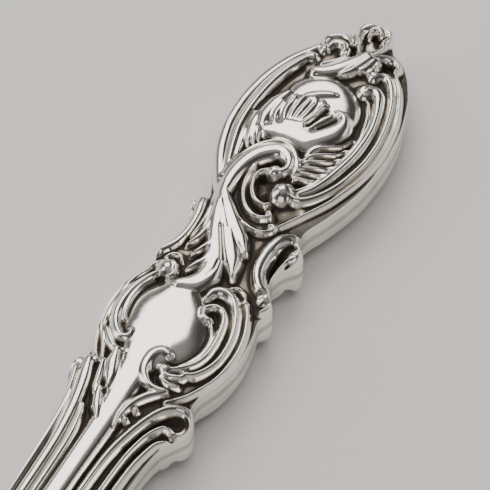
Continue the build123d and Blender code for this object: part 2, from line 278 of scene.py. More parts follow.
def terminal_strokes() -> list[Stroke]:
    """Rims, volute bands, dome and shell of the oval end of the handle.

    Returns:
        The strokes, in the order in which they are raised.
    """
    strokes = [
        # the smooth pillow that the shell lies on
        Stroke(((82.4, 1.6), (84.5, 1.1), (86.0, 1.6)), (4.8, 5.3, 4.7), -0.02, Section.PLATE, 0.6),
        # two left bands and the fillet inside them
        Stroke(
            ((95.2, 6.4), (92.2, 8.4), (89.0, 9.75), (86.0, 10.5), (82.0, 10.95), (78.0, 10.8),
             (75.0, 10.15), (72.0, 9.15), (68.5, 7.45), (66.2, 6.2), (64.4, 5.3)),
            (0.55, 0.8, 0.9, 0.9, 0.9, 0.85, 0.8, 0.7, 0.5), 0.02, Section.FULL,
        ),
        Stroke(
            ((93.4, 6.4), (91.5, 7.4), (89.0, 8.35), (86.0, 9.05), (82.0, 9.4), (78.0, 9.25), (75.0, 8.65),
             (72.0, 7.75), (69.5, 6.95), (67.0, 6.2)),
            (0.4, 0.5, 0.6, 0.62, 0.6, 0.5, 0.35), 0.05,
        ),
        Stroke(((80.6, 8.45), (77.0, 8.1), (74.0, 7.4), (71.5, 6.9)), (0.2, 0.35, 0.35, 0.25), -0.2),
        # right outer bead, second ridge and its knob
        Stroke(
            ((95.0, -5.3), (92.8, -7.0), (89.5, -8.4), (86.0, -9.4), (82.0, -9.8), (79.0, -9.7),
             (76.0, -9.2), (73.0, -8.3), (70.0, -7.1), (67.0, -5.4), (64.5, -3.9), (63.4, -3.1)),
            (0.3, 0.36, 0.38, 0.38, 0.36, 0.32, 0.28), 0.0,
        ),
        Stroke(
            ((93.6, -3.3), (94.2, -4.1), (93.2, -5.4), (90.5, -6.9), (87.0, -7.95), (83.0, -8.55),
             (79.0, -8.45), (76.0, -7.85), (73.5, -7.1), (71.3, -6.0), (69.7, -4.7), (69.0, -3.4),
             (69.3, -2.2)),
            (0.45, 0.6, 0.6, 0.58, 0.55, 0.55, 0.55, 0.55, 0.55, 0.5), 0.12,
        ),
        ball(93.6, -2.9, 0.75, 0.15),
        ball(69.6, -1.25, 1.25, 0.45),
        # right inner band with its volute and bead
        Stroke(
            ((91.0, -3.2), (91.1, -4.1), (90.3, -5.0), (88.9, -5.65), (87.0, -6.25), (84.0, -6.8),
             (80.0, -6.75), (77.0, -6.25), (74.0, -5.45), (71.5, -4.45), (69.9, -3.3)),
            (0.6, 0.8, 0.85, 0.8, 0.7, 0.68, 0.66, 0.64, 0.6, 0.5, 0.3), 0.15, Section.FULL,
        ),
        Stroke(((90.4, -3.05), (90.3, -3.15)), (1.15, 1.15), 0.28, Section.FULL),
        Stroke(
            ((88.9, -4.1), (86.5, -5.15), (84.0, -5.75), (81.0, -5.95), (77.0, -5.45), (74.0, -4.7),
             (72.0, -3.85), (70.0, -2.5)),
            (0.2, 0.26, 0.28, 0.28, 0.24), 0.0,
        ),
    ]
    # comb of ribs under the shell's right edge
    for rib in range(6):
        left_end = np.array((76.4 - 0.9 * rib, -1.0 - 0.1 * rib))
        right_end = np.array((81.8 - 2.05 * rib + 0.06 * rib * rib, -5.3 + 0.05 * rib * rib))
        upper = left_end + (right_end - left_end) / 3 + (0.0, 0.4)
        lower = left_end + 2 * (right_end - left_end) / 3 + (-0.1, -0.45)
        path = tuple(tuple(point) for point in (left_end, upper, lower, right_end))
        strokes.append(Stroke(path, (0.22, 0.3, 0.27, 0.15), 0.14, Section.ROUND, 1.3))
    # the shell: a smooth palm, leaves and flutes at its left, a fan above it and a rolled lobe at its right
    strokes += [
        Stroke(
            ((78.0, 5.5), (78.9, 3.7), (79.2, 1.7), (78.9, 0.0)),
            (1.1, 1.9, 2.1, 1.8), 0.36, Section.FULL, 0.75,
        ),
        Stroke(((79.8, 2.6), (81.8, 2.95), (83.0, 2.9)), (2.0, 2.25, 1.9), 0.3, Section.PLATE, 0.7),
    ]
    for flute in range(5):
        root = (74.4 + 0.72 * flute, 6.5 - 0.46 * flute)
        tip = (78.0 + 0.62 * flute, 7.55 - 0.5 * flute)
        middle = (0.5 * (root[0] + tip[0]), 0.5 * (root[1] + tip[1]) + 0.15)
        strokes.append(Stroke((root, middle, tip), (0.16, 0.3, 0.2), 0.06 + 0.05 * flute, Section.ROUND, 0.9))
    lobes = (
        (((75.4, 6.9), (78.0, 7.6), (80.5, 8.0)), (0.25, 0.5, 0.3), 0.05),
        (((78.2, 6.4), (80.5, 6.9), (83.2, 6.6), (85.4, 5.8)), (0.5, 1.05, 1.0, 0.5), 0.34),
        (((79.2, 5.0), (81.0, 5.6), (83.3, 5.6)), (0.3, 0.55, 0.4), 0.42),
        (((79.6, 3.5), (82.0, 4.65), (84.9, 4.6)), (0.3, 0.7, 0.5), 0.48),
        (((79.9, 3.1), (82.6, 3.8), (85.2, 3.4)), (0.3, 0.7, 0.55), 0.52),
        (((80.2, 2.7), (83.2, 2.85), (85.5, 2.2)), (0.3, 0.7, 0.55), 0.56),
        (((80.5, 2.1), (83.2, 1.95), (85.5, 1.2)), (0.3, 0.68, 0.5), 0.56),
        (((80.7, 1.6), (83.0, 1.0), (85.1, 0.45)), (0.3, 0.6, 0.45), 0.54),
        (((80.4, 0.6), (82.5, -0.35), (83.8, -1.25)), (0.4, 0.7, 0.42), 0.48),
    )
    for path, widths, rise in lobes:
        strokes.append(Stroke(path, widths, rise, Section.ROUND, 0.75))
    strokes += [
        Stroke(
            ((83.0, 4.7), (84.6, 3.95), (86.0, 2.9), (87.0, 1.5), (87.5, 0.25)),
            (0.3, 0.5, 0.6, 0.6, 0.45), 0.62, Section.ROUND, 0.9,
        ),
        Stroke(
            ((79.3, -0.7), (81.5, -2.5), (83.2, -3.1), (84.5, -2.65), (84.8, -1.6)),
            (1.5, 1.5, 1.15, 0.6, 0.45), 0.42, Section.FULL, 0.85,
        ),
    ]
    return strokes


def crest_strokes() -> list[Stroke]:
    """Spray of leaves, side curls and finial at the handle's tip.

    Returns:
        The strokes, in the order in which they are raised.
    """
    return [
        Stroke(
            ((96.4, -0.4), (94.2, 0.8), (92.3, 2.2), (91.1, 3.5), (90.6, 4.5)),
            (0.9, 1.2, 1.2, 1.05, 0.85), 0.42, Section.FULL, 0.95,
        ),
        Stroke(
            ((96.0, -1.0), (94.2, -0.3), (92.6, 0.4), (91.4, 1.2)),
            (0.8, 0.85, 0.65, 0.25), 0.42, Section.FULL,
        ),
        Stroke(((96.0, -1.8), (94.4, -1.4), (93.2, -0.8)), (0.6, 0.65, 0.25), 0.36),
        Stroke(((96.0, -2.4), (94.6, -2.4), (93.4, -1.9)), (0.4, 0.45, 0.25), 0.25),
        Stroke(((94.9, 1.9), (93.4, 3.2), (92.3, 4.4)), (0.5, 0.55, 0.35), 0.15),
        ball(95.2, 5.5, 0.7, 0.15),
        ball(93.3, 6.3, 0.75, 0.1),
        Stroke(((95.9, 2.8), (97.0, 3.5), (96.9, 4.6), (96.0, 5.0)), (0.55, 0.7, 0.7, 0.5), 0.2),
        Stroke(
            ((97.9, 2.4), (98.7, 3.2), (98.9, 4.3), (98.4, 5.3), (97.5, 6.0), (96.3, 6.0)),
            (0.4, 0.55, 0.6, 0.6, 0.5, 0.4), 0.1,
        ),
        Stroke(((94.6, 2.7), (95.6, 2.3), (96.6, 2.4)), (0.3, 0.35, 0.3), 0.0),
        Stroke(
            ((95.4, -0.9), (96.7, -1.6), (97.4, -2.9), (97.2, -4.3), (96.3, -5.2), (95.6, -5.1)),
            (0.4, 0.45, 0.5, 0.5, 0.45, 0.45), 0.2,
        ),
        Stroke(
            ((95.8, 0.7), (97.6, 1.4), (99.2, 2.1), (100.7, 2.45), (101.9, 2.0), (102.7, 0.9),
             (102.7, -0.5), (101.8, -1.6), (100.5, -2.0), (99.9, -1.5)),
            (0.3, 0.4, 0.55, 0.7, 0.8, 0.85, 0.85, 0.8, 0.7, 0.6), 0.35,
        ),
        Stroke(((99.9, 1.0), (101.2, 1.0), (101.6, 0.2), (101.0, -0.4)), (0.3, 0.4, 0.45, 0.4), 0.2),
        Stroke(((95.6, -0.6), (97.6, -1.0), (99.4, -1.7)), (0.3, 0.35, 0.4), -0.05),
    ]


def scroll_strokes() -> list[Stroke]:
    """The large C-scroll under the shell and the acanthus that grows out of it down the neck.

    Returns:
        The strokes, in the order in which they are raised.
    """
    return [
        # fillet round the scroll's back, then the scroll and its eye
        Stroke(
            ((68.0, 6.9), (71.0, 6.7), (73.5, 6.1), (75.3, 5.1), (76.6, 3.7), (77.0, 2.4), (76.5, 0.9),
             (75.2, -0.4), (73.8, -1.1), (72.4, -1.2)),
            (0.3, 0.35, 0.4, 0.45, 0.4, 0.35), 0.2,
        ),
        Stroke(
            ((61.5, 4.2), (64.0, 5.0), (66.5, 5.6), (69.0, 5.8), (71.5, 5.45), (73.6, 4.6), (75.0, 3.3),
             (75.5, 2.1), (75.0, 0.9), (74.1, 0.15), (73.0, -0.05), (72.1, 0.4)),
            (0.7, 0.9, 1.0, 1.1, 1.15, 1.2, 1.2, 1.1, 0.95, 0.75, 0.6, 0.5), 0.5, Section.FULL, 1.0,
        ),
        ball(72.0, 1.2, 0.85, 0.6),
        # three lines inside the scroll, each ending in a small curl
        Stroke(
            ((71.9, 3.8), (70.0, 4.0), (68.5, 3.8), (67.0, 3.25), (65.6, 2.35), (64.6, 1.2), (64.1, 0.0),
             (64.3, -1.0), (64.9, -1.75), (65.4, -1.5), (65.3, -1.1)),
            (0.25, 0.33, 0.35, 0.36, 0.34, 0.3, 0.28), 0.15,
        ),
        Stroke(
            ((72.0, 2.2), (71.2, 2.95), (70.0, 3.1), (69.0, 2.85), (67.8, 2.25), (66.8, 1.4), (66.35, 0.5),
             (66.3, -0.3), (66.8, -0.6)),
            (0.25, 0.32, 0.34, 0.34, 0.32, 0.28), 0.1,
        ),
        Stroke(
            ((65.8, 4.7), (64.8, 4.1), (63.7, 3.0), (62.7, 1.5), (62.1, 0.0), (61.9, -1.3), (62.3, -2.4),
             (63.0, -3.1), (63.6, -2.9), (63.5, -2.4)),
            (0.25, 0.33, 0.36, 0.36, 0.33, 0.3), 0.15,
        ),
        # acanthus, which flows out of the scroll: right lobes, the long main lobe, the narrow left ones
        Stroke(
            ((66.0, 5.2), (64.2, 3.9), (62.0, 2.0), (59.8, -0.2), (57.9, -1.8)),
            (0.5, 0.85, 1.05, 1.0, 0.5), 0.42, Section.FULL, 0.9,
        ),
        Stroke(
            ((66.3, 5.4), (64.0, 4.3), (61.0, 2.4), (58.2, 0.5), (56.2, -0.9), (53.9, -2.1)),
            (0.5, 0.9, 1.1, 1.25, 1.2, 0.5), 0.46, Section.FULL, 0.9,
        ),
        Stroke(
            ((66.8, 5.7), (64.0, 4.9), (60.5, 3.6), (57.5, 2.1), (55.0, 1.05), (52.8, 0.8), (51.0, 1.5),
             (49.8, 3.2)),
            (0.5, 0.9, 1.1, 1.25, 1.35, 1.45, 1.4, 0.85), 0.5, Section.FULL, 0.9,
        ),
        Stroke(((58.5, 2.4), (55.2, 2.1), (53.6, 2.75), (52.1, 3.5)), (0.4, 0.62, 0.52, 0.16), 0.42),
        Stroke(((60.5, 3.6), (58.0, 2.9), (56.1, 3.4), (54.6, 4.15)), (0.3, 0.5, 0.42, 0.14), 0.36),
        Stroke(((64.0, 5.4), (60.0, 4.5), (57.6, 4.7), (55.9, 5.4)), (0.35, 0.55, 0.45, 0.14), 0.26),
        Stroke(((66.5, 6.5), (63.0, 5.7), (60.0, 5.4), (57.4, 5.6)), (0.3, 0.38, 0.35, 0.15), 0.12),
        # scrolls that stand out of the neck's flanks
        Stroke(
            ((63.4, 7.2), (61.2, 6.7), (58.5, 6.5), (56.3, 6.8), (54.9, 7.4), (53.8, 8.1)),
            (0.75, 0.65, 0.6, 0.6, 0.6, 0.55), 0.2, Section.FULL,
        ),
        ball(62.4, 8.2, 0.9, 0.0),
        ball(53.8, 8.5, 0.9, 0.0),
        Stroke(((61.2, 7.6), (58.5, 7.35), (56.0, 7.7)), (0.25, 0.28, 0.25), -0.2),
        Stroke(
            ((60.4, -8.0), (61.7, -7.8), (62.6, -6.9), (62.8, -5.9), (62.0, -4.9), (60.5, -4.4),
             (58.5, -4.3), (56.5, -4.6), (54.8, -5.4), (53.7, -6.4), (53.6, -7.4)),
            (0.6, 0.65, 0.7, 0.8, 0.9, 0.95, 0.95, 0.95, 0.9, 0.8, 0.6), 0.4, Section.FULL,
        ),
        ball(60.7, -7.9, 1.15, 0.2),
        ball(53.2, -7.8, 1.2, 0.3),
        Stroke(((53.6, -7.8), (52.8, -8.5), (51.6, -8.4), (50.6, -7.8)), (0.4, 0.45, 0.4, 0.35), 0.05),
        Stroke(((59.6, -6.8), (57.0, -6.65), (54.9, -6.8)), (0.22, 0.28, 0.22), -0.25),
    ]


def cartouche_strokes() -> list[Stroke]:
    """Rims, bands and volutes round the second swelling of the handle.

    Returns:
        The strokes, in the order in which they are raised.
    """
    return [
        # the smooth field, which runs on down the stem as a flat panel
        Stroke(
            ((48.2, 2.4), (45.5, 2.0), (43.0, 1.5), (40.5, 1.7), (37.0, 1.9), (33.0, 1.6), (28.0, 1.3),
             (20.0, 1.3), (10.0, 1.3), (-1.0, 1.2)),
            (2.9, 4.7, 4.9, 3.6, 2.3, 1.85, 1.6, 1.5, 1.45, 1.4), 0.08, Section.FLAT, 0.85,
        ),
        # left rims
        Stroke(
            ((52.7, 6.3), (51.2, 7.8), (49.5, 8.75), (47.5, 9.35), (45.0, 9.6), (42.5, 9.55), (39.5, 8.95),
             (37.8, 8.25), (36.3, 7.45), (35.0, 6.5)),
            (0.32, 0.36, 0.38, 0.38, 0.36, 0.3), -0.05,
        ),
        Stroke(
            ((50.6, 7.7), (48.0, 8.75), (45.0, 9.0), (42.5, 8.9), (40.0, 8.35), (37.5, 7.0), (35.8, 6.1),
             (34.2, 5.3)),
            (0.26, 0.3, 0.32, 0.32, 0.3, 0.28), -0.1,
        ),
        # left band, its inner line and end curl
        Stroke(
            ((50.3, 6.4), (49.0, 7.15), (47.0, 7.9), (45.0, 8.15), (43.0, 8.0), (41.3, 7.4), (40.1, 6.5),
             (39.5, 5.6), (39.9, 4.8), (40.8, 4.75)),
            (0.35, 0.45, 0.58, 0.65, 0.68, 0.7, 0.68, 0.62, 0.5, 0.4), 0.28,
        ),
        Stroke(
            ((49.3, 6.4), (47.5, 7.1), (45.5, 7.35), (43.5, 7.1), (41.9, 6.5)),
            (0.2, 0.25, 0.25, 0.2), 0.05,
        ),
        Stroke(((39.8, 7.8), (38.5, 6.6), (37.6, 5.3), (37.8, 4.2)), (0.4, 0.55, 0.6, 0.4), 0.05),
        # ball, crescent and arch at the band's head
        Stroke(((52.7, 5.6), (52.0, 4.8), (50.9, 4.6), (50.2, 5.0)), (0.35, 0.45, 0.42, 0.3), 0.2),
        ball(51.7, 6.0, 1.15, 0.34),
        Stroke(((53.1, 6.8), (53.9, 6.2), (54.1, 5.3), (53.4, 4.7)), (0.26, 0.3, 0.3, 0.24), 0.0),
        # right volute, its band and inner line
        Stroke(
            ((46.5, -2.6), (46.9, -1.85), (47.9, -1.55), (48.7, -2.4), (48.5, -3.6), (47.2, -4.5),
             (45.5, -4.95), (43.5, -5.2), (41.5, -5.1), (39.8, -4.5), (38.4, -3.2), (37.6, -2.0)),
            (0.35, 0.4, 0.42, 0.45, 0.5, 0.55, 0.55, 0.52, 0.5, 0.45, 0.4, 0.35), 0.3,
        ),
        ball(46.5, -2.8, 0.55, 0.3),
        ball(37.6, -1.7, 0.75, 0.35),
        Stroke(
            ((46.0, -3.4), (44.6, -4.2), (43.0, -4.5), (41.2, -4.3), (39.5, -3.5), (38.6, -2.8)),
            (0.22, 0.28, 0.28, 0.22), 0.05,
        ),
        # right big ridge, arch, outer rim
        Stroke(
            ((49.5, -0.95), (50.8, -1.3), (51.3, -2.4), (50.8, -3.8), (49.5, -4.95), (48.0, -5.75),
             (46.0, -6.45), (44.0, -6.8), (41.5, -6.75), (39.8, -6.2), (38.4, -5.3), (37.8, -4.3)),
            (0.45, 0.7, 0.75, 0.7, 0.65, 0.6, 0.58, 0.55, 0.52, 0.5, 0.48, 0.42), 0.35,
        ),
        ball(37.8, -4.1, 0.6, 0.25),
        Stroke(((52.2, -2.8), (52.6, -3.8), (52.0, -4.9), (51.0, -5.4)), (0.24, 0.3, 0.3, 0.24), 0.05),
        Stroke(
            ((51.0, -5.7), (49.5, -6.6), (47.0, -7.6), (45.0, -8.05), (43.0, -8.2), (40.5, -8.05),
             (38.5, -7.6), (36.8, -6.8), (35.0, -5.7), (33.3, -3.9)),
            (0.34, 0.38, 0.4, 0.4, 0.38, 0.35, 0.3), 0.0,
        ),
        # C-scroll at the field's foot
        Stroke(
            ((39.6, -1.1), (39.8, 0.0), (38.9, 0.75), (37.4, 0.85), (35.9, 0.4), (34.8, -0.7), (34.4, -2.0),
             (34.6, -3.4)),
            (0.55, 0.75, 0.82, 0.8, 0.72, 0.62, 0.52, 0.4), 0.35, Section.FULL,
        ),
        Stroke(((37.6, -1.0), (36.8, -2.3), (37.3, -4.1)), (0.4, 0.6, 0.4), 0.2),
        Stroke(((36.3, -1.6), (35.8, -2.9), (36.0, -4.2)), (0.3, 0.42, 0.3), 0.08),
    ]


def stem_strokes() -> list[Stroke]:
    """Shoulder scrolls, fronds and the flutes that run down the stem to the ferrule.

    Returns:
        The strokes, in the order in which they are raised.
    """
    return [
        # left flutes
        Stroke(
            ((34.7, 7.35), (33.0, 6.85), (30.5, 6.2), (28.0, 5.65), (25.0, 5.2), (21.0, 4.85), (12.0, 4.65),
             (-1.0, 4.3)),
            (0.7, 0.85, 0.8, 0.75, 0.68, 0.62), 0.15, Section.FULL,
        ),
        Stroke(
            ((29.5, 7.0), (26.0, 6.6), (21.0, 6.35), (12.0, 6.1), (-1.0, 5.6)),
            (0.4, 0.55, 0.55, 0.5), -0.1,
        ),
        Stroke(
            ((28.6, 4.6), (26.0, 4.0), (22.0, 3.6), (12.0, 3.4), (-1.0, 3.1)),
            (0.3, 0.52, 0.52, 0.48), 0.05,
        ),
        ball(33.7, 8.5, 1.1, 0.1),
        Stroke(((33.0, 8.2), (31.0, 7.6), (29.6, 7.2)), (0.4, 0.35, 0.25), -0.1),
        # fronds beside the panel
        Stroke(
            ((37.6, 5.0), (35.6, 4.5), (33.8, 3.75), (32.0, 3.2)),
            (0.5, 0.9, 0.85, 0.35), 0.28, Section.FULL,
        ),
        Stroke(((35.4, 5.7), (33.2, 5.0), (31.6, 4.6), (30.4, 4.2)), (0.35, 0.55, 0.5, 0.25), 0.18),
        Stroke(
            ((31.6, 4.0), (30.2, 3.5), (28.9, 2.9), (27.6, 2.1)),
            (0.4, 0.7, 0.72, 0.3), 0.28, Section.FULL,
        ),
        # tongue and beads right of the panel
        Stroke(
            ((34.4, -3.4), (33.3, -1.75), (31.4, -0.6), (29.4, -0.25), (27.6, -0.3)),
            (0.4, 0.62, 0.58, 0.42, 0.2), 0.22, Section.FULL,
        ),
        ball(30.7, -1.45, 0.45, 0.0),
        ball(29.0, -1.0, 0.45, 0.0),
        # right shoulder arch and its two inner ridges
        Stroke(
            ((-1.0, -1.2), (12.0, -1.35), (20.0, -1.45), (24.0, -1.7), (27.0, -2.3), (29.8, -3.15),
             (31.6, -4.0), (32.8, -5.1), (33.2, -6.4), (32.8, -7.6), (31.8, -8.5), (30.4, -8.7),
             (29.3, -8.3)),
            (0.5, 0.52, 0.55, 0.55, 0.55, 0.5, 0.48), 0.25,
        ),
        Stroke(
            ((-1.0, -2.9), (12.0, -3.1), (20.0, -3.3), (24.0, -3.5), (26.5, -3.9), (28.5, -4.5),
             (29.9, -5.4), (30.1, -6.3)),
            (0.3, 0.34, 0.34, 0.3), -0.1,
        ),
        Stroke(
            ((-1.0, -4.3), (12.0, -4.6), (20.0, -4.8), (23.0, -4.95), (25.2, -5.3), (27.3, -5.9),
             (28.1, -6.8)),
            (0.38, 0.42, 0.42, 0.38), -0.05,
        ),
    ]


def hollows() -> list[Cut]:
    """Deep places in the ground, sunk before the strokes are raised.

    Returns:
        The cuts, each a line with its width and depth.
    """
    return [
        Cut(((71.6, 2.6), (72.8, 3.3), (73.8, 2.6), (73.9, 1.6)), 1.5, 0.9),
        Cut(((66.0, 0.2), (68.5, 1.7), (70.5, 1.9)), 1.6, 0.5),
        Cut(((90.8, 7.0), (87.5, 8.0), (84.0, 8.5), (80.5, 8.3)), 0.9, 0.5),
        Cut(((71.5, -2.7), (75.0, -3.2), (79.0, -3.9)), 2.2, 0.6),
        Cut(((60.0, -6.3), (57.5, -6.1), (55.0, -6.5)), 1.2, 0.9),
        Cut(((49.0, 5.6), (46.0, 6.6), (43.0, 6.2), (41.5, 5.6)), 1.0, 0.35),
        Cut(((40.8, 5.9), (40.4, 5.5)), 0.8, 0.6),
        Cut(((26.0, -3.0), (28.5, -3.9), (30.6, -5.1), (31.2, -6.6)), 1.0, 0.7),
        Cut(((-1.0, -3.7), (12.0, -4.0), (22.0, -4.2), (26.0, -4.8), (28.9, -6.2)), 0.7, 0.5),
        Cut(((-1.0, -0.4), (15.0, -0.4), (30.0, -0.4)), 0.6, 0.4),
        Cut(((66.4, -3.2), (66.9, -1.6), (67.6, -0.6)), 2.0, 0.7),
        Cut(((97.2, 1.8), (97.4, 4.0)), 0.9, 0.6),
        Cut(((99.8, -0.8), (101.2, 0.2)), 1.0, 0.5),
        Cut(((96.2, -3.5), (96.6, -3.9)), 1.0, 0.6),
    ]


def engraved_lines() -> list[Cut]:
    """Veins and slots cut into the raised leaves and the shell.

    Returns:
        The cuts, each a line with its width and depth.
    """
    fan = []
    for line in range(4):
        root = (80.6 + 0.12 * line, 4.0 - 0.62 * line)
        middle = (83.0, 4.25 - 0.95 * line)
        end = (85.6, 4.05 - 0.9 * line)
        fan.append(Cut((root, middle, end), 0.2, 0.42))
    return fan + [
        Cut(((84.7, 0.0), (82.6, 0.45), (80.9, 0.95)), 0.34, 0.7),
        Cut(((83.6, -2.0), (82.4, -1.35), (81.0, -0.5)), 0.26, 0.5),
        Cut(((91.3, -4.1), (91.0, -3.2), (90.3, -2.7), (89.7, -3.2), (90.1, -3.7)), 0.2, 0.24),
        Cut(((60.4, 2.9), (57.8, 1.4), (55.6, 0.1)), 0.2, 0.32),
        Cut(((55.2, 0.5), (53.7, 0.3), (52.4, 0.6)), 0.18, 0.2),
        Cut(((64.6, 4.7), (62.4, 3.2), (60.6, 1.9)), 0.18, 0.16),
    ]


@dataclass(frozen=True)
class Shade:
    """One measure that darkens a surface: the range over which it acts, and its weight."""

    low: float
    high: float
    weight: float
    reach: int = 0

    def of(self, values: np.ndarray) -> np.ndarray:
        """Returns the weighted ramp of the values."""
        return self.weight * ramp(values, self.low, self.high)

    def of_dips(self, height: np.ndarray) -> np.ndarray:
        """Returns the weighted ramp of how far each height lies under the average within reach."""
        return self.of(blurred(height, self.reach) - height)


@dataclass
class HandleRelief:
    """The struck face of a handle, as heights over its mid-plane, in millimetres.

    The drawing of the relief lies at one height and leans, so a lower point takes its place in the
    drawing further back, by the slides along and across for each millimetre of drop.
    """

    length: float = 104.0
    drawing_height: float = 4.5
    drawing_offset: float = 1.0
    slide_along: float = 0.74
    slide_across: float = 0.39
    crown_fall: float = 0.26
    crown_power: float = 2.4
    ground_depth: float = 0.95
    rows: int = 901
    columns: int = 220
    coarse_length: float = 25.0
    coarse_share: float = 0.1
    wall_samples: int = 4001
    wall_spacing: float = 2.2
    wall_power: float = 5.0
    wall_clearance: float = 0.45
    wall_blend: float = 0.12
    flank_samples: int = 6
    tip_rounding: float = 1.5
    softening: int = 1
    fine_dips: Shade = Shade(0.02, 0.16, 0.6, 3)
    broad_dips: Shade = Shade(0.05, 0.45, 0.55, 9)
    sunk_ground: Shade = Shade(0.45, 1.2, 0.34)
    ground_margin: float = 0.2
    bright_foot: Shade = Shade(0.2, 1.8, 0.65)
    wall_film: Shade = Shade(0.9, 0.985, 0.17)
    crown_line: tuple = (
        (-1.0, 3.3), (20.0, 3.5), (31.0, 3.9), (44.0, 4.15), (58.0, 4.1), (70.0, 4.2), (82.0, 4.25),
        (92.0, 4.0), (98.0, 3.6), (105.0, 3.2),
    )
    left_flank: tuple = (
        (-1.0, 5.4), (10.0, 5.7), (20.0, 6.15), (27.0, 6.6), (30.5, 7.2), (32.6, 8.1), (34.4, 8.55),
        (36.0, 8.0), (37.0, 7.6), (38.7, 8.0), (40.6, 8.7), (43.4, 9.25), (46.0, 9.25), (48.6, 8.9),
        (51.0, 8.0), (52.6, 7.4), (54.2, 7.9), (55.4, 7.6), (57.0, 7.0), (59.5, 6.8), (61.8, 7.2),
        (63.2, 7.9), (64.6, 7.4), (65.9, 6.5), (69.4, 8.1), (72.9, 9.6), (75.9, 10.5), (79.0, 11.0),
        (83.0, 11.15), (87.0, 10.75), (90.0, 10.0), (93.0, 8.9), (95.6, 7.4), (97.2, 6.7), (98.6, 6.2),
        (99.6, 5.4), (100.3, 3.6), (101.0, 2.9), (102.2, 2.9), (103.0, 2.5), (104.0, 1.6),
    )
    right_flank: tuple = (
        (-1.0, 5.4), (10.0, 5.7), (20.0, 6.1), (27.0, 6.6), (29.6, 7.6), (31.2, 8.7), (32.6, 8.9),
        (34.0, 8.5), (35.4, 7.4), (37.5, 7.6), (40.0, 8.6), (43.3, 9.3), (46.0, 9.3), (48.6, 8.9),
        (50.6, 8.5), (51.8, 9.0), (53.0, 9.2), (54.4, 8.3), (57.0, 6.9), (59.4, 7.6), (60.8, 8.8),
        (62.2, 8.9), (63.6, 7.7), (66.0, 7.2), (69.3, 8.5), (72.9, 9.75), (75.9, 10.5), (79.0, 10.9),
        (83.2, 11.05), (87.0, 10.7), (90.0, 10.0), (93.0, 9.1), (95.6, 7.9), (97.2, 7.0), (98.6, 6.0),
        (99.6, 5.0), (100.5, 3.6), (101.4, 2.9), (102.4, 2.6), (103.2, 2.3), (104.0, 1.6),
    )

    def wall(self, share: np.ndarray) -> np.ndarray:
        """Height of the rounded wall at a share of the half width, as a share: a superellipse."""
        return (1 - np.abs(share) ** self.wall_power) ** (1 / self.wall_power)

    def rows_along(self) -> np.ndarray:
        """Places of the rows: wider steps on the plain stem, finer ones under the ornament."""
        share = np.linspace(0.0, 1.0, self.rows)
        return np.interp(share, (0.0, self.coarse_share, 1.0), (0.0, self.coarse_length, self.length))

    def shares_across(self) -> np.ndarray:
        """Shares of the half width at which the columns stand, at even steps along the wall's curve.

        Returns:
            The shares, from -1 to 1.
        """
        share = np.linspace(-1.0, 1.0, self.wall_samples)
        steps = np.hypot(self.wall_spacing * np.diff(share), np.diff(self.wall(share)))
        arc = np.concatenate([[0.0], np.cumsum(steps)])
        spaced = np.interp(np.linspace(0.0, arc[-1], self.columns), arc, share)
        spaced[[0, -1]] = -1.0, 1.0
        return spaced

    def read(self, drawn: tuple, along: np.ndarray) -> np.ndarray:
        """Reads a drawn outline, as a smooth curve, at places along the handle."""
        curve = smooth_curve(np.array(drawn), self.flank_samples)
        return np.interp(along, curve[:, 0], curve[:, 1])

    def carve(self, along: np.ndarray, across: np.ndarray, crown: np.ndarray) -> np.ndarray:
        """Sinks the hollows, raises the strokes and engraves the lines.

        Args:
            along: each grid point's place along the handle.
            across: each grid point's place across it.
            crown: height of the crowned face at each grid point.

        Returns:
            The heights.
        """
        drop = self.drawing_height - crown
        drawn_along = along - self.slide_along * drop
        drawn_across = across + self.drawing_offset - self.slide_across * drop
        relief = crown - self.ground_depth
        for hollow in hollows():
            hollow.sink_in(drawn_along, drawn_across, relief)
        for strokes in (
            terminal_strokes(), cartouche_strokes(), stem_strokes(), crest_strokes(), scroll_strokes(),
        ):
            for stroke in strokes:
                stroke.raise_on(drawn_along, drawn_across, crown, relief)
        for cut in engraved_lines():
            cut.sink_in(drawn_along, drawn_across, relief)
        return relief

    def build(self) -> None:
        """Works out the grid of points, the tarnish and the normals of one struck face."""
        along = self.rows_along()
        past_tip = np.clip(along - self.length + self.tip_rounding, 0, None) / self.tip_rounding
        tip = np.sqrt(np.clip(1 - past_tip**2, 0, 1))
        share = self.shares_across()[None, :]
        left_width = self.read(self.left_flank, along) * tip
        right_width = self.read(self.right_flank, along) * tip
        crest = self.read(self.crown_line, along)[:, None]
        across = np.where(share > 0, left_width[:, None], right_width[:, None]) * share
        along = np.repeat(along[:, None], self.columns, axis=1)
        crown = crest * (1 - self.crown_fall * np.abs(share) ** self.crown_power)
        envelope = (crest + self.wall_clearance) * tip[:, None] * self.wall(share)
        height = soft_lesser(self.carve(along, across, crown), envelope, self.wall_blend)
        height = np.clip(blurred(height, self.softening), 0.0, None)
        height[:, [0, -1]] = 0.0
        height[-1, :] = 0.0
        sunk = self.sunk_ground.of(crown - height) * (envelope > crown - self.ground_margin)
        dark = np.clip(self.fine_dips.of_dips(height) + self.broad_dips.of_dips(height) + sunk, 0.0, 1.0)
        foot = 1 - self.bright_foot.weight + self.bright_foot.of(height)
        self.recess = dark * foot + self.wall_film.of(np.abs(share))
        self.points = np.stack([along, across, height], axis=2)
        normals = np.cross(np.gradient(self.points, axis=0), np.gradient(self.points, axis=1))
        self.normals = normals / np.maximum(np.linalg.norm(normals, axis=2, keepdims=True), TINY)


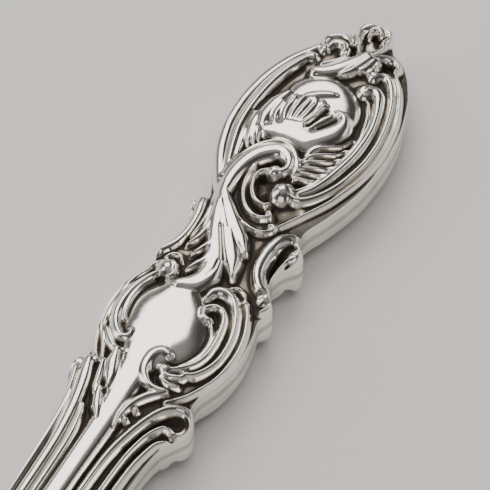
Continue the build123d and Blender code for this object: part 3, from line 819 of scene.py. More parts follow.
@dataclass
class Mesh:
    """A surface being put together: points, faces, and one value of tarnish for each point."""

    points: list = field(default_factory=list)
    normals: list = field(default_factory=list)
    recess: list = field(default_factory=list)
    corners: list = field(default_factory=list)
    sizes: list = field(default_factory=list)
    count: int = 0

    def add_grid(
        self, points: np.ndarray, recess: np.ndarray | None = None, ring: bool = False, flip: bool = False
    ) -> int:
        """Adds a grid of points as four-sided faces.

        Args:
            points: rows by columns by three.
            recess: rows by columns of tarnish, or None for none.
            ring: joins the last column to the first.
            flip: turns the faces over.

        Returns:
            The number of the grid's first point.
        """
        rows, columns = points.shape[:2]
        start = self.count
        last = columns if ring else columns - 1
        row, column = np.meshgrid(np.arange(rows - 1), np.arange(last), indexing="ij")
        after = (column + 1) % columns
        here = row * columns
        ahead = here + columns
        quad = np.stack([here + column, ahead + column, ahead + after, here + after], axis=-1).reshape(-1, 4)
        if flip:
            quad = quad[:, ::-1]
        self.points.append(points.reshape(-1, 3))
        self.recess.append(np.zeros(rows * columns) if recess is None else recess.reshape(-1))
        self.corners.append((quad + start).reshape(-1))
        self.sizes.append(np.full(len(quad), 4))
        self.count += rows * columns
        return start

    def add_cap(self, ring: np.ndarray) -> None:
        """Closes an opening with one many-sided face through the points numbered in ring."""
        self.corners.append(ring)
        self.sizes.append(np.array([len(ring)]))

    def finish(
        self, name: str, normals: np.ndarray | None = None, weld: bool = False
    ) -> bpy.types.Object:
        """Makes the Blender object, smooth, with its tarnish as the attribute named recess.

        Args:
            name: the object's name.
            normals: one normal for each point, or None to let the faces give them.
            weld: joins points that lie on each other, which closes poles and seams.

        Returns:
            The object, linked to the scene.
        """
        points = np.vstack(self.points)
        corners = np.concatenate(self.corners)
        sizes = np.concatenate(self.sizes)
        data = bpy.data.meshes.new(name)
        data.vertices.add(len(points))
        data.vertices.foreach_set("co", points.astype(np.float32).reshape(-1))
        data.loops.add(len(corners))
        data.loops.foreach_set("vertex_index", corners.astype(np.int32))
        data.polygons.add(len(sizes))
        starts = np.concatenate([[0], np.cumsum(sizes)[:-1]])
        data.polygons.foreach_set("loop_start", starts.astype(np.int32))
        data.update(calc_edges=True)
        data.polygons.foreach_set("use_smooth", np.ones(len(sizes), bool))
        layer = data.attributes.new("recess", "FLOAT", "POINT")
        layer.data.foreach_set("value", np.concatenate(self.recess).astype(np.float32))
        if weld:
            shape = bmesh.new()
            shape.from_mesh(data)
            bmesh.ops.remove_doubles(shape, verts=shape.verts, dist=WELD_DISTANCE)
            shape.to_mesh(data)
            shape.free()
        if normals is not None:
            data.normals_split_custom_set_from_vertices(normals.reshape(-1, 3).astype(np.float32).tolist())
        piece = bpy.data.objects.new(name, data)
        bpy.context.scene.collection.objects.link(piece)
        return piece


class Graph:
    """A node tree with short ways to add nodes and links."""

    def __init__(self, tree: bpy.types.NodeTree) -> None:
        """Takes the node tree to work in."""
        self.tree = tree

    def add(self, kind: str, **settings: object) -> bpy.types.Node:
        """Adds a node and sets its properties."""
        node = self.tree.nodes.new(kind)
        for key, value in settings.items():
            setattr(node, key, value)
        return node

    def link(self, source: bpy.types.NodeSocket, target: bpy.types.NodeSocket) -> None:
        """Joins two sockets."""
        self.tree.links.new(source, target)

    def feed(self, target: bpy.types.NodeSocket, value: object) -> None:
        """Joins a socket to the target, or sets the target to a plain value."""
        if isinstance(value, bpy.types.NodeSocket):
            self.link(value, target)
        else:
            target.default_value = value

    def math(self, operation: str, first: object, second: object) -> bpy.types.NodeSocket:
        """Adds a Math node on two values or sockets and returns its result."""
        node = self.add("ShaderNodeMath", operation=operation)
        self.feed(node.inputs[0], first)
        self.feed(node.inputs[1], second)
        return node.outputs[0]

    def span(
        self, value: object, low: float, high: float, out_low: float = 0.0, out_high: float = 1.0
    ) -> bpy.types.NodeSocket:
        """Adds a smooth Map Range from low..high to out_low..out_high and returns its result."""
        node = self.add("ShaderNodeMapRange", interpolation_type="SMOOTHSTEP")
        self.feed(node.inputs["Value"], value)
        node.inputs["From Min"].default_value = low
        node.inputs["From Max"].default_value = high
        node.inputs["To Min"].default_value = out_low
        node.inputs["To Max"].default_value = out_high
        return node.outputs["Result"]

    def blend(self, share: object, first: object, second: object) -> bpy.types.NodeSocket:
        """Adds a colour Mix and returns its result."""
        node = self.add("ShaderNodeMix", data_type="RGBA")
        self.feed(node.inputs[0], share)
        self.feed(node.inputs[6], first)
        self.feed(node.inputs[7], second)
        return node.outputs[2]

    def noise(
        self, place: bpy.types.NodeSocket, scale: float, detail: float, roughness: float
    ) -> bpy.types.NodeSocket:
        """Adds a Noise Texture and returns its factor."""
        node = self.add("ShaderNodeTexNoise")
        self.link(place, node.inputs["Vector"])
        node.inputs["Scale"].default_value = scale
        node.inputs["Detail"].default_value = detail
        node.inputs["Roughness"].default_value = roughness
        return node.outputs["Fac"]


def open_group(
    name: str, inputs: dict[str, str], outputs: dict[str, str]
) -> tuple[Graph, bpy.types.Node, bpy.types.Node]:
    """Starts a shader node group with named sockets.

    Args:
        name: the group's name.
        inputs: socket types by input name.
        outputs: socket types by output name.

    Returns:
        The group's graph, its input node and its output node.
    """
    tree = bpy.data.node_groups.new(name, "ShaderNodeTree")
    for label, kind in inputs.items():
        tree.interface.new_socket(label, in_out="INPUT", socket_type=kind)
    for label, kind in outputs.items():
        tree.interface.new_socket(label, in_out="OUTPUT", socket_type=kind)
    graph = Graph(tree)
    return graph, graph.add("NodeGroupInput"), graph.add("NodeGroupOutput")


def open_material(name: str) -> tuple[bpy.types.Material, Graph, bpy.types.Node]:
    """Starts a material that holds a shader and its output.

    Args:
        name: the material's name.

    Returns:
        The material, its graph and its shader.
    """
    material = bpy.data.materials.new(name)
    material.use_nodes = True
    material.node_tree.nodes.clear()
    graph = Graph(material.node_tree)
    shader = graph.add("ShaderNodeBsdfPrincipled")
    output = graph.add("ShaderNodeOutputMaterial")
    graph.link(shader.outputs["BSDF"], output.inputs["Surface"])
    return material, graph, shader


class SharedEffects:
    """The shader groups that every finish shares, each built once."""

    def __init__(self) -> None:
        """Builds the tarnish and wear groups."""
        self.tarnish = self.build_tarnish()
        self.wear = self.build_wear()

    def build_tarnish(self) -> bpy.types.NodeTree:
        """Patina that gathers in recesses: a warm film first, then a dark sulphide.

        Returns:
            The group, whose outputs are the metal's colour, how metallic it is and its roughness.
        """
        graph, given, result = open_group(
            "silver tarnish",
            {
                "Vector": "NodeSocketVector", "Recess": "NodeSocketFloat", "Bright": "NodeSocketColor",
                "Warm": "NodeSocketColor", "Dark": "NodeSocketColor", "Polish": "NodeSocketFloat",
            },
            {"Color": "NodeSocketColor", "Metallic": "NodeSocketFloat", "Roughness": "NodeSocketFloat"},
        )
        cloud = graph.noise(given.outputs["Vector"], scale=420.0, detail=4.0, roughness=0.6)
        grain = graph.noise(given.outputs["Vector"], scale=2600.0, detail=3.0, roughness=0.65)
        cloudy = graph.math("MULTIPLY", graph.math("SUBTRACT", cloud, 0.5), 0.34)
        grainy = graph.math("MULTIPLY", graph.math("SUBTRACT", grain, 0.5), 0.16)
        amount = graph.math("ADD", given.outputs["Recess"], graph.math("ADD", cloudy, grainy))
        film = graph.span(amount, low=0.14, high=0.62)
        crust = graph.span(amount, low=0.5, high=0.98)
        filmed = graph.blend(film, given.outputs["Bright"], given.outputs["Warm"])
        graph.link(graph.blend(crust, filmed, given.outputs["Dark"]), result.inputs["Color"])
        matted = graph.math("SUBTRACT", 1.0, graph.math("MULTIPLY", crust, 0.55))
        graph.link(matted, result.inputs["Metallic"])
        rough = graph.math("ADD", graph.math("MULTIPLY", film, 0.14), graph.math("MULTIPLY", crust, 0.24))
        graph.link(graph.math("ADD", given.outputs["Polish"], rough), result.inputs["Roughness"])
        return graph.tree

    def build_wear(self) -> bpy.types.NodeTree:
        """Handling marks: a soft unevenness from polishing and fine crossing scratches.

        Returns:
            The group, whose outputs are a roughness to add and a height.
        """
        graph, given, result = open_group(
            "handling wear",
            {"Vector": "NodeSocketVector", "Amount": "NodeSocketFloat"},
            {"Roughness": "NodeSocketFloat", "Height": "NodeSocketFloat"},
        )
        soft = graph.noise(given.outputs["Vector"], scale=160.0, detail=3.0, roughness=0.5)
        smear = graph.noise(given.outputs["Vector"], scale=900.0, detail=4.0, roughness=0.55)
        marks = []
        for turn in (0.5, 1.9, -0.7):
            mapping = graph.add("ShaderNodeMapping")
            graph.link(given.outputs["Vector"], mapping.inputs["Vector"])
            mapping.inputs["Rotation"].default_value = (0.0, 0.3 * turn, turn)
            mapping.inputs["Scale"].default_value = (0.05, 1.0, 1.0)
            line = graph.noise(mapping.outputs["Vector"], scale=5200.0, detail=1.0, roughness=0.4)
            marks.append(graph.span(line, low=0.66, high=0.74))
        scratch = graph.math("ADD", marks[0], graph.math("ADD", marks[1], marks[2]))
        smeared = graph.span(smear, low=0.35, high=0.75, out_high=0.05)
        scuffed = graph.math("ADD", smeared, graph.math("MULTIPLY", scratch, 0.03))
        graph.link(graph.math("MULTIPLY", scuffed, given.outputs["Amount"]), result.inputs["Roughness"])
        wavy = graph.math("ADD", soft, graph.math("MULTIPLY", scratch, -0.05))
        graph.link(graph.math("MULTIPLY", wavy, given.outputs["Amount"]), result.inputs["Height"])
        return graph.tree


@dataclass(frozen=True)
class MetalFinish:
    """A polished metal with patina in its recesses and marks of handling."""

    name: str
    bright: tuple
    warm: tuple
    dark: tuple
    polish: float = 0.13
    wear: float = 1.0
    age: float = 0.0
    relief: float = 0.000012

    def build(self, effects: SharedEffects) -> bpy.types.Material:
        """Builds the material.

        Args:
            effects: the shader groups that all finishes share.

        Returns:
            The material.
        """
        material, graph, shader = open_material(self.name)
        place = graph.add("ShaderNodeTexCoord").outputs["Object"]
        attribute = graph.add("ShaderNodeAttribute", attribute_name="recess")
        tarnish = graph.add("ShaderNodeGroup", node_tree=effects.tarnish)
        wear = graph.add("ShaderNodeGroup", node_tree=effects.wear)
        graph.link(place, tarnish.inputs["Vector"])
        graph.link(place, wear.inputs["Vector"])
        graph.feed(tarnish.inputs["Recess"], graph.math("ADD", attribute.outputs["Fac"], self.age))
        graph.feed(tarnish.inputs["Bright"], (*self.bright, 1.0))
        graph.feed(tarnish.inputs["Warm"], (*self.warm, 1.0))
        graph.feed(tarnish.inputs["Dark"], (*self.dark, 1.0))
        graph.feed(tarnish.inputs["Polish"], self.polish)
        graph.feed(wear.inputs["Amount"], self.wear)
        bump = graph.add("ShaderNodeBump")
        bump.inputs["Strength"].default_value = 1.0
        bump.inputs["Distance"].default_value = self.relief
        graph.link(wear.outputs["Height"], bump.inputs["Height"])
        graph.link(bump.outputs["Normal"], shader.inputs["Normal"])
        graph.link(tarnish.outputs["Color"], shader.inputs["Base Color"])
        graph.link(tarnish.outputs["Metallic"], shader.inputs["Metallic"])
        rough = graph.math("ADD", tarnish.outputs["Roughness"], wear.outputs["Roughness"])
        graph.link(rough, shader.inputs["Roughness"])
        return material


@dataclass(frozen=True)
class CementFinish:
    """Set resin cement: matt brown with coarse grains."""

    name: str = "cement"
    pale: tuple = (0.36, 0.27, 0.19)
    deep: tuple = (0.2, 0.14, 0.09)
    relief: float = 0.0002

    def build(self, effects: SharedEffects) -> bpy.types.Material:
        """Builds the material; the shared effects aren't used on it."""
        material, graph, shader = open_material(self.name)
        place = graph.add("ShaderNodeTexCoord").outputs["Object"]
        grains = graph.noise(place, scale=1400.0, detail=5.0, roughness=0.7)
        bump = graph.add("ShaderNodeBump")
        bump.inputs["Distance"].default_value = self.relief
        graph.link(grains, bump.inputs["Height"])
        graph.link(bump.outputs["Normal"], shader.inputs["Normal"])
        graph.link(graph.blend(grains, (*self.deep, 1.0), (*self.pale, 1.0)), shader.inputs["Base Color"])
        rough = graph.span(grains, low=0.3, high=0.7, out_low=0.7, out_high=0.95)
        graph.link(rough, shader.inputs["Roughness"])
        return material


@dataclass(frozen=True)
class HandleSeat:
    """Where a handle stands: its root, its direction and its left, in the row frame."""

    side: Side

    def axes(self) -> tuple[np.ndarray, np.ndarray, np.ndarray]:
        """The root, the direction and the left, from the ferrule's place and half the opening.

        The root is as high as the pivot joint, because both handles' mid-planes pass through it.
        """
        heading = self.side.value * HALF_OPENING
        ahead = np.array([math.cos(heading), math.sin(heading), 0.0])
        left = np.array([-math.sin(heading), math.cos(heading), 0.0])
        low, high = (np.array(corner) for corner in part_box(f"{self.side.word}_ferrule"))
        middle = (low + high) / 2
        middle[2] = frame["record"]["behaviour"]["joints"][0]["pos_m"][2]
        return middle + ahead * FERRULE_LENGTH * MM / 2, ahead, left

    def place(self, points: np.ndarray) -> np.ndarray:
        """Carries points from millimetres along, left and up of the root to metres in the row frame."""
        return self.axes()[0] + MM * self.turn(points)

    def turn(self, vectors: np.ndarray) -> np.ndarray:
        """Carries directions from the handle's own axes to the row frame."""
        _, ahead, left = self.axes()
        return vectors[..., :1] * ahead + vectors[..., 1:2] * left + vectors[..., 2:] * UP


@dataclass
class Handle:
    """One hollow handle: two struck shells on a common mid-plane, round a core of cement."""

    side: Side
    relief: HandleRelief
    split_row: int = 450
    core_rows: int = 60
    core_columns: int = 40
    core_start: float = 1.0
    core_end_gap: float = 7.0
    core_share: float = 0.7
    core_height: float = 2.2
    core_power: float = 0.7
    core_closing: float = 30.0

    def build_half(self, face: Face, label: str, start: int, stop: int) -> bpy.types.Object:
        """One stretch of one shell, closed by its mid-plane and its two ends.

        Args:
            face: front or back.
            label: the stretch's name.
            start: first row of the relief.
            stop: last row of the relief.

        Returns:
            The piece.
        """
        flip = face is Face.BACK
        mirror = np.array([1.0, 1.0, face.value])
        seat = HandleSeat(self.side)
        points = seat.place(self.relief.points[start : stop + 1] * mirror)
        normals = seat.turn(self.relief.normals[start : stop + 1] * mirror)
        rows, columns = points.shape[:2]
        shell = Mesh()
        shell.add_grid(points, self.relief.recess[start : stop + 1], ring=True, flip=flip)
        first = np.arange(columns)
        last = (rows - 1) * columns + first
        shell.add_cap(first[::-1] if flip else first)
        shell.add_cap(last if flip else last[::-1])
        return shell.finish(f"{self.side.word}_handle_{face.name.lower()}_{label}", normals)

    def build_core(self) -> bpy.types.Object:
        """The cement core: a tapering superellipse carried along the handle, well inside its ground.

        Returns:
            The piece.
        """
        share = np.linspace(0.0, 1.0, self.core_rows)
        along = self.core_start + share * (self.relief.length - self.core_end_gap - self.core_start)
        left = np.interp(along, *np.array(self.relief.left_flank).T)
        right = np.interp(along, *np.array(self.relief.right_flank).T)
        close = np.sqrt(np.clip(1 - (2 * share - 1) ** self.core_closing, 0, 1))[:, None]
        half = self.core_share * np.minimum(left, right)[:, None] * close
        angle = np.linspace(0, 2 * math.pi, self.core_columns, endpoint=False)
        across, height = superellipse(angle, self.core_power)
        points = carried(along, half * across, self.core_height * close * height)
        core = Mesh()
        core.add_grid(HandleSeat(self.side).place(points), ring=True, flip=True)
        return core.finish(f"{self.side.word}_handle_cement_core", weld=True)

    def build(self, silver: bpy.types.Material, cement: bpy.types.Material) -> list[bpy.types.Object]:
        """Builds the handle's pieces and dresses them.

        Args:
            silver: finish of the shells.
            cement: finish of the core.

        Returns:
            The pieces.
        """
        pieces = []
        last = self.relief.rows - 1
        for face in Face:
            node = f"{self.side.word}_handle_{face.name.lower()}_shell"
            for label, start, stop in (("stem", 0, self.split_row), ("oval", self.split_row, last)):
                piece = self.build_half(face, label, start, stop)
                piece.data.materials.append(silver)
                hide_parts(node)
                pieces.append(piece)
        core = self.build_core()
        core.data.materials.append(cement)
        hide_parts(f"{self.side.word}_handle_filler")
        pieces.append(core)
        for piece in pieces:
            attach(piece, self.side.body)
        return pieces


@dataclass
class Ferrule:
    """One oval ferrule: two bold beads with a reeded waist between, closed at both ends."""

    side: Side
    length: float = FERRULE_LENGTH
    half_width: float = 6.6
    half_depth: float = 4.3
    bead: float = 2.0
    bead_depth: float = 0.7
    waist_step: float = 0.75
    end_opening: float = 0.05
    reeds: int = 44
    reed_height: float = 0.22
    shade_start: float = 0.35
    shade_slope: float = 1.4
    end_shade: float = 0.3
    rows: int = 90
    columns: int = 352

    def build(self, silver: bpy.types.Material) -> list[bpy.types.Object]:
        """Builds the ferrule.

        Its surface is an ellipse carried along the axis; its offset inwards is a half circle over each
        bead, and in the waist a constant step less the reeds' rectified cosine round the axis.

        Args:
            silver: its finish.

        Returns:
            The piece, in a list.
        """
        place = np.concatenate([[0.0], np.linspace(0.0, self.length, self.rows - 2), [self.length]])
        end_distance = np.minimum(place, self.length - place)
        bead_share = np.clip(1 - (end_distance / (self.bead / 2) - 1) ** 2, 0.0, 1.0)
        in_waist = end_distance > self.bead
        inwards = np.where(in_waist, self.waist_step, self.bead_depth * (1 - np.sqrt(bead_share)))
        inwards[[0, -1]] = min(self.half_width, self.half_depth) - self.end_opening
        angle = np.linspace(0, 2 * math.pi, self.columns, endpoint=False)
        reed = self.reed_height * np.abs(np.cos(self.reeds * angle / 2))
        inset = inwards[:, None] - np.where(in_waist[:, None], reed, 0.0)
        points = carried(
            place - self.length,
            (self.half_width - inset) * np.cos(angle),
            (self.half_depth - inset) * np.sin(angle),
        )
        shade = np.clip((inset - self.shade_start) * self.shade_slope, 0.0, 1.0)
        shade[[0, -1]] = self.end_shade
        first = np.arange(self.columns)
        ferrule = Mesh()
        ferrule.add_grid(HandleSeat(self.side).place(points), shade, ring=True, flip=True)
        ferrule.add_cap(first[::-1])
        ferrule.add_cap((self.rows - 1) * self.columns + first)
        piece = ferrule.finish(f"{self.side.word}_ferrule_reeded")
        piece.data.materials.append(silver)
        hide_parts(f"{self.side.word}_ferrule")
        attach(piece, self.side.body)
        return [piece]


@dataclass
class Claw:
    """One cast claw: a reeded socket riveted on the lever's tongue, and three talons that spring from it.

    Its own axes start at the end of the jaw: X runs on along the jaw, Y leads away from the other claw.
    """

    side: Side
    jaw_heading: float = math.radians(188.0)
    rivets_behind: float = 3.25
    socket_start: float = -6.0
    socket_end: float = 1.6
    socket_rows: int = 110
    socket_columns: int = 200
    half_width: float = 2.88
    half_height: float = 3.38
    corner_power: float = 5.0
    front_round: float = 1.8
    front_power: float = 2.4
    back_round: float = 0.35
    back_draw: float = 0.12
    reeds: int = 5
    reed_depth: float = 0.3
    reed_front: float = 0.1
    reed_fade: float = 0.4
    talon_rows: int = 120
    talon_columns: int = 40
    talon_flatness: float = 0.9
    talon_start: float = 0.4
    talon_bend: float = 11.0
    talon_sweep: float = math.radians(86.0)
    talon_fan: float = math.radians(11.6)
    root_pitch: float = 1.7
    root_radius: float = 1.58
    tip_radius: float = 0.34
    toe_share: float = 0.42
    toe_joints: int = 3
    joint_depth: float = 0.2
    nail_step: float = 0.14
    nail_step_share: float = 0.12
    nail_taper: float = 0.4
    socket_shade: float = 0.1
    talon_shade: float = 0.08
    groove_shade: float = 0.8

    def place(self, points: np.ndarray) -> np.ndarray:
        """Carries points from the claw's own axes, in millimetres, to metres in the row frame."""
        heading = self.side.value * self.jaw_heading
        along = np.array([math.cos(heading), math.sin(heading), 0.0])
        up = self.side.value * UP
        outwards = np.cross(up, along)
        low, high = (np.array(corner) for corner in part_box(f"{self.side.word}_claw_rivets"))
        start = (low + high) / 2 + self.rivets_behind * MM * along
        return start + MM * (points[..., :1] * along + points[..., 1:2] * outwards + points[..., 2:] * up)

    def socket(self) -> tuple[np.ndarray, np.ndarray]:
        """The socket: a superellipse carried along the jaw.

        Its width is drawn in by the reeds, a rectified sine along the jaw, and both sizes close in a
        quarter ellipse at the front and a short round at the back.

        Returns:
            The grid of points, with a pole at each end, and its tarnish.
        """
        step = (1 - np.cos(math.pi * np.linspace(0.0, 1.0, self.socket_rows))) / 2
        place = self.socket_start + (self.socket_end - self.socket_start) * step
        front = np.clip((place - self.socket_end) / self.front_round + 1, 0.0, 1.0)
        back = np.clip((self.socket_start - place) / self.back_round + 1, 0.0, 1.0)
        close = np.sqrt(np.clip(1 - front**self.front_power, 0.0, 1.0)) * (1 - self.back_draw * back**2)
        close[[0, -1]] = 0.0
        reeded = np.clip((self.reed_front - place) / self.reed_fade, 0.0, 1.0)
        turns = self.reeds * (place - self.socket_start) / -self.socket_start
        wave = 1 - np.abs(np.sin(math.pi * turns))
        angle = -np.linspace(0, 2 * math.pi, self.socket_columns, endpoint=False)
        across, height = superellipse(angle, 2 / self.corner_power)
        flank = ramp(np.abs(across), 0.75, 0.98) * ramp(1 - np.abs(height), 0.04, 0.3)
        groove = (wave**2 * reeded)[:, None] * flank
        half_width = (self.half_width - self.reed_depth * groove) * close[:, None]
        points = carried(place, half_width * across, self.half_height * close[:, None] * height)
        return points, np.clip(self.socket_shade + self.groove_shade * groove, 0.0, 1.0)

    def talon(self, row: int) -> tuple[np.ndarray, np.ndarray]:
        """One talon: an oval of shrinking radius carried round an arc, with jointed toe and smooth nail.

        The arc lies in a plane that leans outwards by the fan for the outer rows. The toe swells between
        its joints by a rectified sine, and the nail tapers by the cube of its share.

        Args:
            row: -1, 0 or 1, from the lowest to the highest.

        Returns:
            The grid of points, with a pole at each end, and its tarnish.
        """
        share = np.concatenate([[0.0], np.linspace(0.0, 1.0, self.talon_rows), [1.0]])
        turn = (share * self.talon_sweep)[:, None]
        toe = np.clip(share / self.toe_share, 0.0, 1.0)
        nail = np.clip((share - self.toe_share) / (1 - self.toe_share), 0.0, 1.0)
        joint = np.abs(np.sin(math.pi * self.toe_joints * toe))
        crease = np.where(toe < 1, (1 - joint) ** 3, 0.0)
        drawn_in = (
            self.joint_depth * crease
            + self.nail_step * ramp(nail, 0.0, self.nail_step_share)
            + self.nail_taper * nail**3
        )
        radius = (self.root_radius + (self.tip_radius - self.root_radius) * share) * (1 - drawn_in)
        radius[[0, -1]] = 0.0
        angle = -np.linspace(0, 2 * math.pi, self.talon_columns, endpoint=False)
        outwards = self.talon_bend + radius[:, None] * np.cos(angle)
        sideways = self.talon_flatness * radius[:, None] * np.sin(angle)
        inwards = self.talon_bend - outwards * np.cos(turn)
        lean = row * self.talon_fan
        points = np.stack(
            [
                self.talon_start + outwards * np.sin(turn),
                -inwards * math.cos(lean) + sideways * math.sin(lean),
                row * self.root_pitch + inwards * math.sin(lean) + sideways * math.cos(lean),
            ],
            axis=2,
        )
        shade = np.clip(self.talon_shade + self.groove_shade * crease, 0.0, 1.0)
        return points, np.repeat(shade[:, None], self.talon_columns, axis=1)

    def build(self, silver: bpy.types.Material) -> list[bpy.types.Object]:
        """Builds the claw.

        Args:
            silver: its finish.

        Returns:
            The piece, in a list.
        """
        claw = Mesh()
        for points, shade in (self.socket(), *(self.talon(row) for row in (-1, 0, 1))):
            claw.add_grid(self.place(points), shade, ring=True)
        piece = claw.finish(f"{self.side.word}_claw_talons", weld=True)
        piece.data.materials.append(silver)
        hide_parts(f"{self.side.word}_claw")
        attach(piece, self.side.body)
        return [piece]


@dataclass
class Rosette:
    """The cast rosette under the pivot screw's head: a ring of veined petals round a flat seat."""

    petals: int = 8
    bore: float = 2.5
    seat: float = 3.95
    waist: float = 6.62
    lowest: float = 0.3
    bowl_depth: float = 0.3
    bowl_place: float = 0.5
    bowl_width: float = 0.22
    vein_height: float = 0.16
    vein_width: float = 0.004
    swell_height: float = 0.42
    edge_drop: float = 0.3
    cleft_depth: float = 0.45
    rows: int = 48
    columns: int = 480

    def build(self, silver: bpy.types.Material) -> list[bpy.types.Object]:
        """Builds the rosette on polar coordinates.

        Its outline swells from the waist to the full radius by the rectified cosine of the petals, and its
        height is highest along each petal's middle, with a shallow bowl inside and a fine vein.

        Args:
            silver: its finish.

        Returns:
            The piece, in a list.
        """
        low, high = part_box("pivot_rosette")
        bottom, top, radius = low[2] / MM, high[2] / MM, high[0] / MM
        angle = np.linspace(0, 2 * math.pi, self.columns, endpoint=False)
        petal = np.abs(np.cos(self.petals * angle / 2))[None, :]
        outline = self.waist + (radius - self.waist) * petal**0.8
        share = np.linspace(0.0, 1.0, self.rows)[:, None]
        reach = self.seat + (outline - self.seat) * share
        swell = np.sin(math.pi * np.clip(share * 1.15, 0, 1)) ** 0.7
        lobe = petal**0.6
        bowl = self.bowl_depth * np.exp(-(((share - self.bowl_place) / self.bowl_width) ** 2)) * petal**3
        vein = self.vein_height * np.exp(-(((1 - petal) / self.vein_width) ** 2)) * swell
        rise = 0.5 + 0.5 * (1 - share) ** 6 + self.swell_height * swell * lobe - bowl + vein
        rise = np.clip(rise - self.edge_drop * share**8, self.lowest, 1.0)
        rise *= 1 - self.cleft_depth * ramp(share, 0.0, 0.3) * (1 - lobe)
        ones = np.ones((1, self.columns))
        bore = self.bore * ones
        radii = np.vstack([bore, bore, reach, outline, bore])
        height = bottom + (top - bottom) * rise
        levels = np.vstack([bottom * ones, top * ones, height, bottom * ones, bottom * ones])
        points = MM * np.stack([radii * np.cos(angle), radii * np.sin(angle), levels], axis=2)
        shade = np.zeros_like(radii)
        shade[2:-2] = np.clip(1.3 * (1 - rise) - 0.15 + 0.5 * (1 - lobe) * ramp(share, 0.1, 0.5), 0.0, 1.0)
        rosette = Mesh()
        rosette.add_grid(points, shade, ring=True)
        piece = rosette.finish("pivot_rosette_petals", weld=True)
        piece.data.materials.append(silver)
        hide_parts("pivot_rosette")
        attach(piece, Side.LEFT.body)
        return [piece]


@dataclass
class FramePieces:
    """The pieces whose shape is already right, and the finish that each of them takes."""

    silver: tuple = ("lever", "claw_rivets")
    washers: tuple = ("top_washer", "center_washer", "bottom_washer")

    def dress(self, finishes: dict[str, bpy.types.Material]) -> list[bpy.types.Object]:
        """Gives each carried-over piece its finish.

        Args:
            finishes: materials by name.

        Returns:
            The dressed pieces.
        """
        choice = {f"{side.word}_{part}": "forged" for side in Side for part in self.silver}
        choice |= {washer: "steel" for washer in self.washers}
        choice |= {"pivot_screw": "forged", "pivot_nut": "forged", "pivot_bushing": "bronze"}
        dressed = []
        for name, finish in choice.items():
            piece = frame["nodes"][name]
            for index in range(len(piece.material_slots)):
                piece.material_slots[index].material = finishes[finish]
            dressed.append(piece)
        return dressed


@dataclass(frozen=True)
class SoftLight:
    """One soft rectangular light, hung in a direction from the aim, given ahead, aside and up."""

    name: str
    direction: tuple
    distance: float
    size: tuple
    radiance: float

    @property
    def power(self) -> float:
        """Returns its power in watts, from its radiance and its area."""
        return self.radiance * math.pi * self.size[0] * self.size[1]


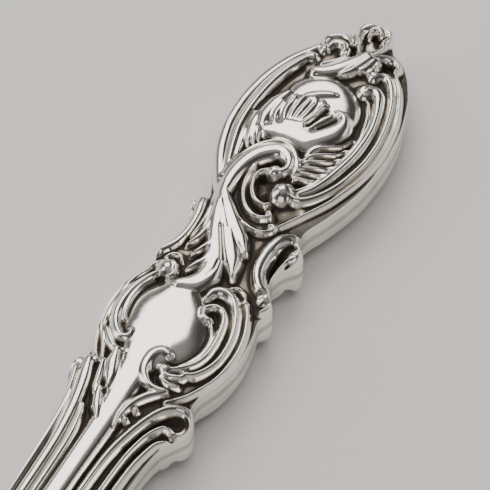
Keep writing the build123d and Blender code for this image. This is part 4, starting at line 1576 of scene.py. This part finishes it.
@dataclass
class Studio:
    """Pale floor, soft lights and the camera, which looks up the right handle from its pivot end."""

    target: tuple = (58.97, -2.26, 4.6)
    distance: float = 0.28
    elevation: float = math.radians(50.0)
    heading: float = math.radians(27.54)
    lens: float = 164.57
    sensor: float = 36.0
    near: float = 0.01
    floor_size: float = 3.0
    floor_color: tuple = (0.78, 0.78, 0.77, 1.0)
    floor_roughness: float = 0.65
    room_color: tuple = (1.0, 0.98, 0.95, 1.0)
    light_color: tuple = (1.0, 0.965, 0.925)
    lights: tuple = (
        SoftLight("key", (0.62, 0.16, 0.78), 0.6, (0.46, 0.4), 3.0),
        SoftLight("left strip", (0.1, 0.9, 0.4), 0.65, (0.3, 0.7), 2.2),
        SoftLight("right strip", (0.3, -0.9, 0.35), 0.7, (0.6, 0.16), 1.2),
        SoftLight("front", (-0.8, 0.2, 0.5), 0.7, (0.5, 0.2), 1.3),
    )
    wash_height: float = 1.0
    wash_size: tuple = (1.2, 1.2)
    wash_power: float = 7.0

    def floor(self) -> None:
        """Lays the floor: a flat square of even pale paint."""
        edges = np.array([-self.floor_size / 2, self.floor_size / 2])
        x, y = np.meshgrid(edges, edges, indexing="ij")
        sheet = Mesh()
        sheet.add_grid(np.stack([x, y, np.zeros_like(x)], axis=2))
        piece = sheet.finish("floor")
        material = bpy.data.materials.new("floor paint")
        material.use_nodes = True
        shader = material.node_tree.nodes["Principled BSDF"]
        shader.inputs["Base Color"].default_value = self.floor_color
        shader.inputs["Roughness"].default_value = self.floor_roughness
        piece.data.materials.append(material)

    def room(self) -> None:
        """Lights the room: pale near the horizon, darker half way up and grey overhead."""
        world = bpy.data.worlds.new("studio")
        world.use_nodes = True
        graph = Graph(world.node_tree)
        height = graph.add("ShaderNodeSeparateXYZ")
        graph.link(graph.add("ShaderNodeTexCoord").outputs["Generated"], height.inputs["Vector"])
        walls = graph.span(height.outputs["Z"], low=0.05, high=0.5, out_low=0.42, out_high=0.05)
        ceiling = graph.span(height.outputs["Z"], low=0.7, high=1.0, out_high=0.22)
        background = world.node_tree.nodes["Background"]
        background.inputs["Color"].default_value = self.room_color
        graph.link(graph.math("ADD", walls, ceiling), background.inputs["Strength"])
        bpy.context.scene.world = world

    def panel(
        self, name: str, place: np.ndarray, aim: np.ndarray, size: tuple, power: float
    ) -> bpy.types.Object:
        """Hangs one soft rectangular light.

        Args:
            name: its name.
            place: where it hangs, in metres.
            aim: the point that it faces.
            size: its width and height, in metres.
            power: in watts.

        Returns:
            The light's object.
        """
        light = bpy.data.lights.new(name, "AREA")
        light.shape = "RECTANGLE"
        light.size, light.size_y = size
        light.energy = power
        light.color = self.light_color
        return self.hang(name, light, place, aim - place)

    def hang(self, name: str, data: bpy.types.ID, place: np.ndarray, line: np.ndarray) -> bpy.types.Object:
        """Places a light or a camera so that it looks along a line, with its own top upwards.

        Args:
            name: the object's name.
            data: the light or the camera.
            place: where it stands, in metres.
            line: the direction in which it looks.

        Returns:
            The object, linked to the scene.
        """
        fitting = bpy.data.objects.new(name, data)
        fitting.location = tuple(place)
        fitting.rotation_mode = "QUATERNION"
        fitting.rotation_quaternion = Vector(line).to_track_quat("-Z", "Y")
        bpy.context.scene.collection.objects.link(fitting)
        return fitting

    def build(self) -> None:
        """Sets the floor, the room, the lights and the camera."""
        self.floor()
        self.room()
        seat = HandleSeat(Side.RIGHT)
        aim = seat.place(np.array(self.target))
        ground = seat.turn(np.array([math.cos(self.heading), math.sin(self.heading), 0.0]))
        beside = np.array([-ground[1], ground[0], 0.0])
        for light in self.lights:
            ahead, aside, rise = light.direction
            line = ahead * ground + aside * beside + rise * UP
            place = aim + light.distance * line / np.linalg.norm(line)
            self.panel(light.name, place, aim, light.size, light.power)
        wash_place = aim + self.wash_height * UP
        wash = self.panel("floor wash", wash_place, aim, self.wash_size, self.wash_power)
        wash.visible_glossy = False
        lens = bpy.data.cameras.new("camera")
        lens.lens = self.lens
        lens.sensor_width = self.sensor
        lens.clip_start = self.near
        line = math.cos(self.elevation) * ground - math.sin(self.elevation) * UP
        bpy.context.scene.camera = self.hang("camera", lens, aim - self.distance * line, line)


def build_finishes() -> dict[str, bpy.types.Material]:
    """Builds every finish once.

    Returns:
        The materials by short name.
    """
    effects = SharedEffects()
    silver = (0.95, 0.92, 0.875)
    struck = MetalFinish(
        "struck silver", bright=silver, warm=(0.46, 0.4, 0.32), dark=(0.03, 0.023, 0.018), polish=0.155
    )
    forged = MetalFinish(
        "forged silver", bright=silver, warm=(0.5, 0.42, 0.33), dark=(0.06, 0.045, 0.035),
        polish=0.2, wear=1.3, age=0.08,
    )
    bronze = MetalFinish(
        "bronze", bright=(0.72, 0.5, 0.26), warm=(0.35, 0.2, 0.1), dark=(0.05, 0.03, 0.02), polish=0.22
    )
    steel = MetalFinish(
        "rolled steel", bright=(0.56, 0.56, 0.57), warm=(0.3, 0.27, 0.24), dark=(0.08, 0.07, 0.06), polish=0.3
    )
    kinds = {"struck": struck, "forged": forged, "bronze": bronze, "steel": steel, "cement": CementFinish()}
    return {name: finish.build(effects) for name, finish in kinds.items()}


def main() -> None:
    """Builds the tongs piece by piece, then the studio."""
    logging.basicConfig(level=logging.INFO, format="%(name)s: %(message)s")
    finishes = build_finishes()
    struck = finishes["struck"]
    relief = HandleRelief()
    relief.build()
    pieces = []
    for side in Side:
        pieces += Handle(side, relief).build(struck, finishes["cement"])
        pieces += Ferrule(side).build(struck)
        pieces += Claw(side).build(struck)
    pieces += Rosette().build(struck)
    for piece in pieces:
        LOG.info("%s: %d faces", piece.name, len(piece.data.polygons))
    for piece in FramePieces().dress(finishes):
        LOG.info("%s dressed", piece.name)
    Studio().build()


if __name__ == "__main__":
    main()
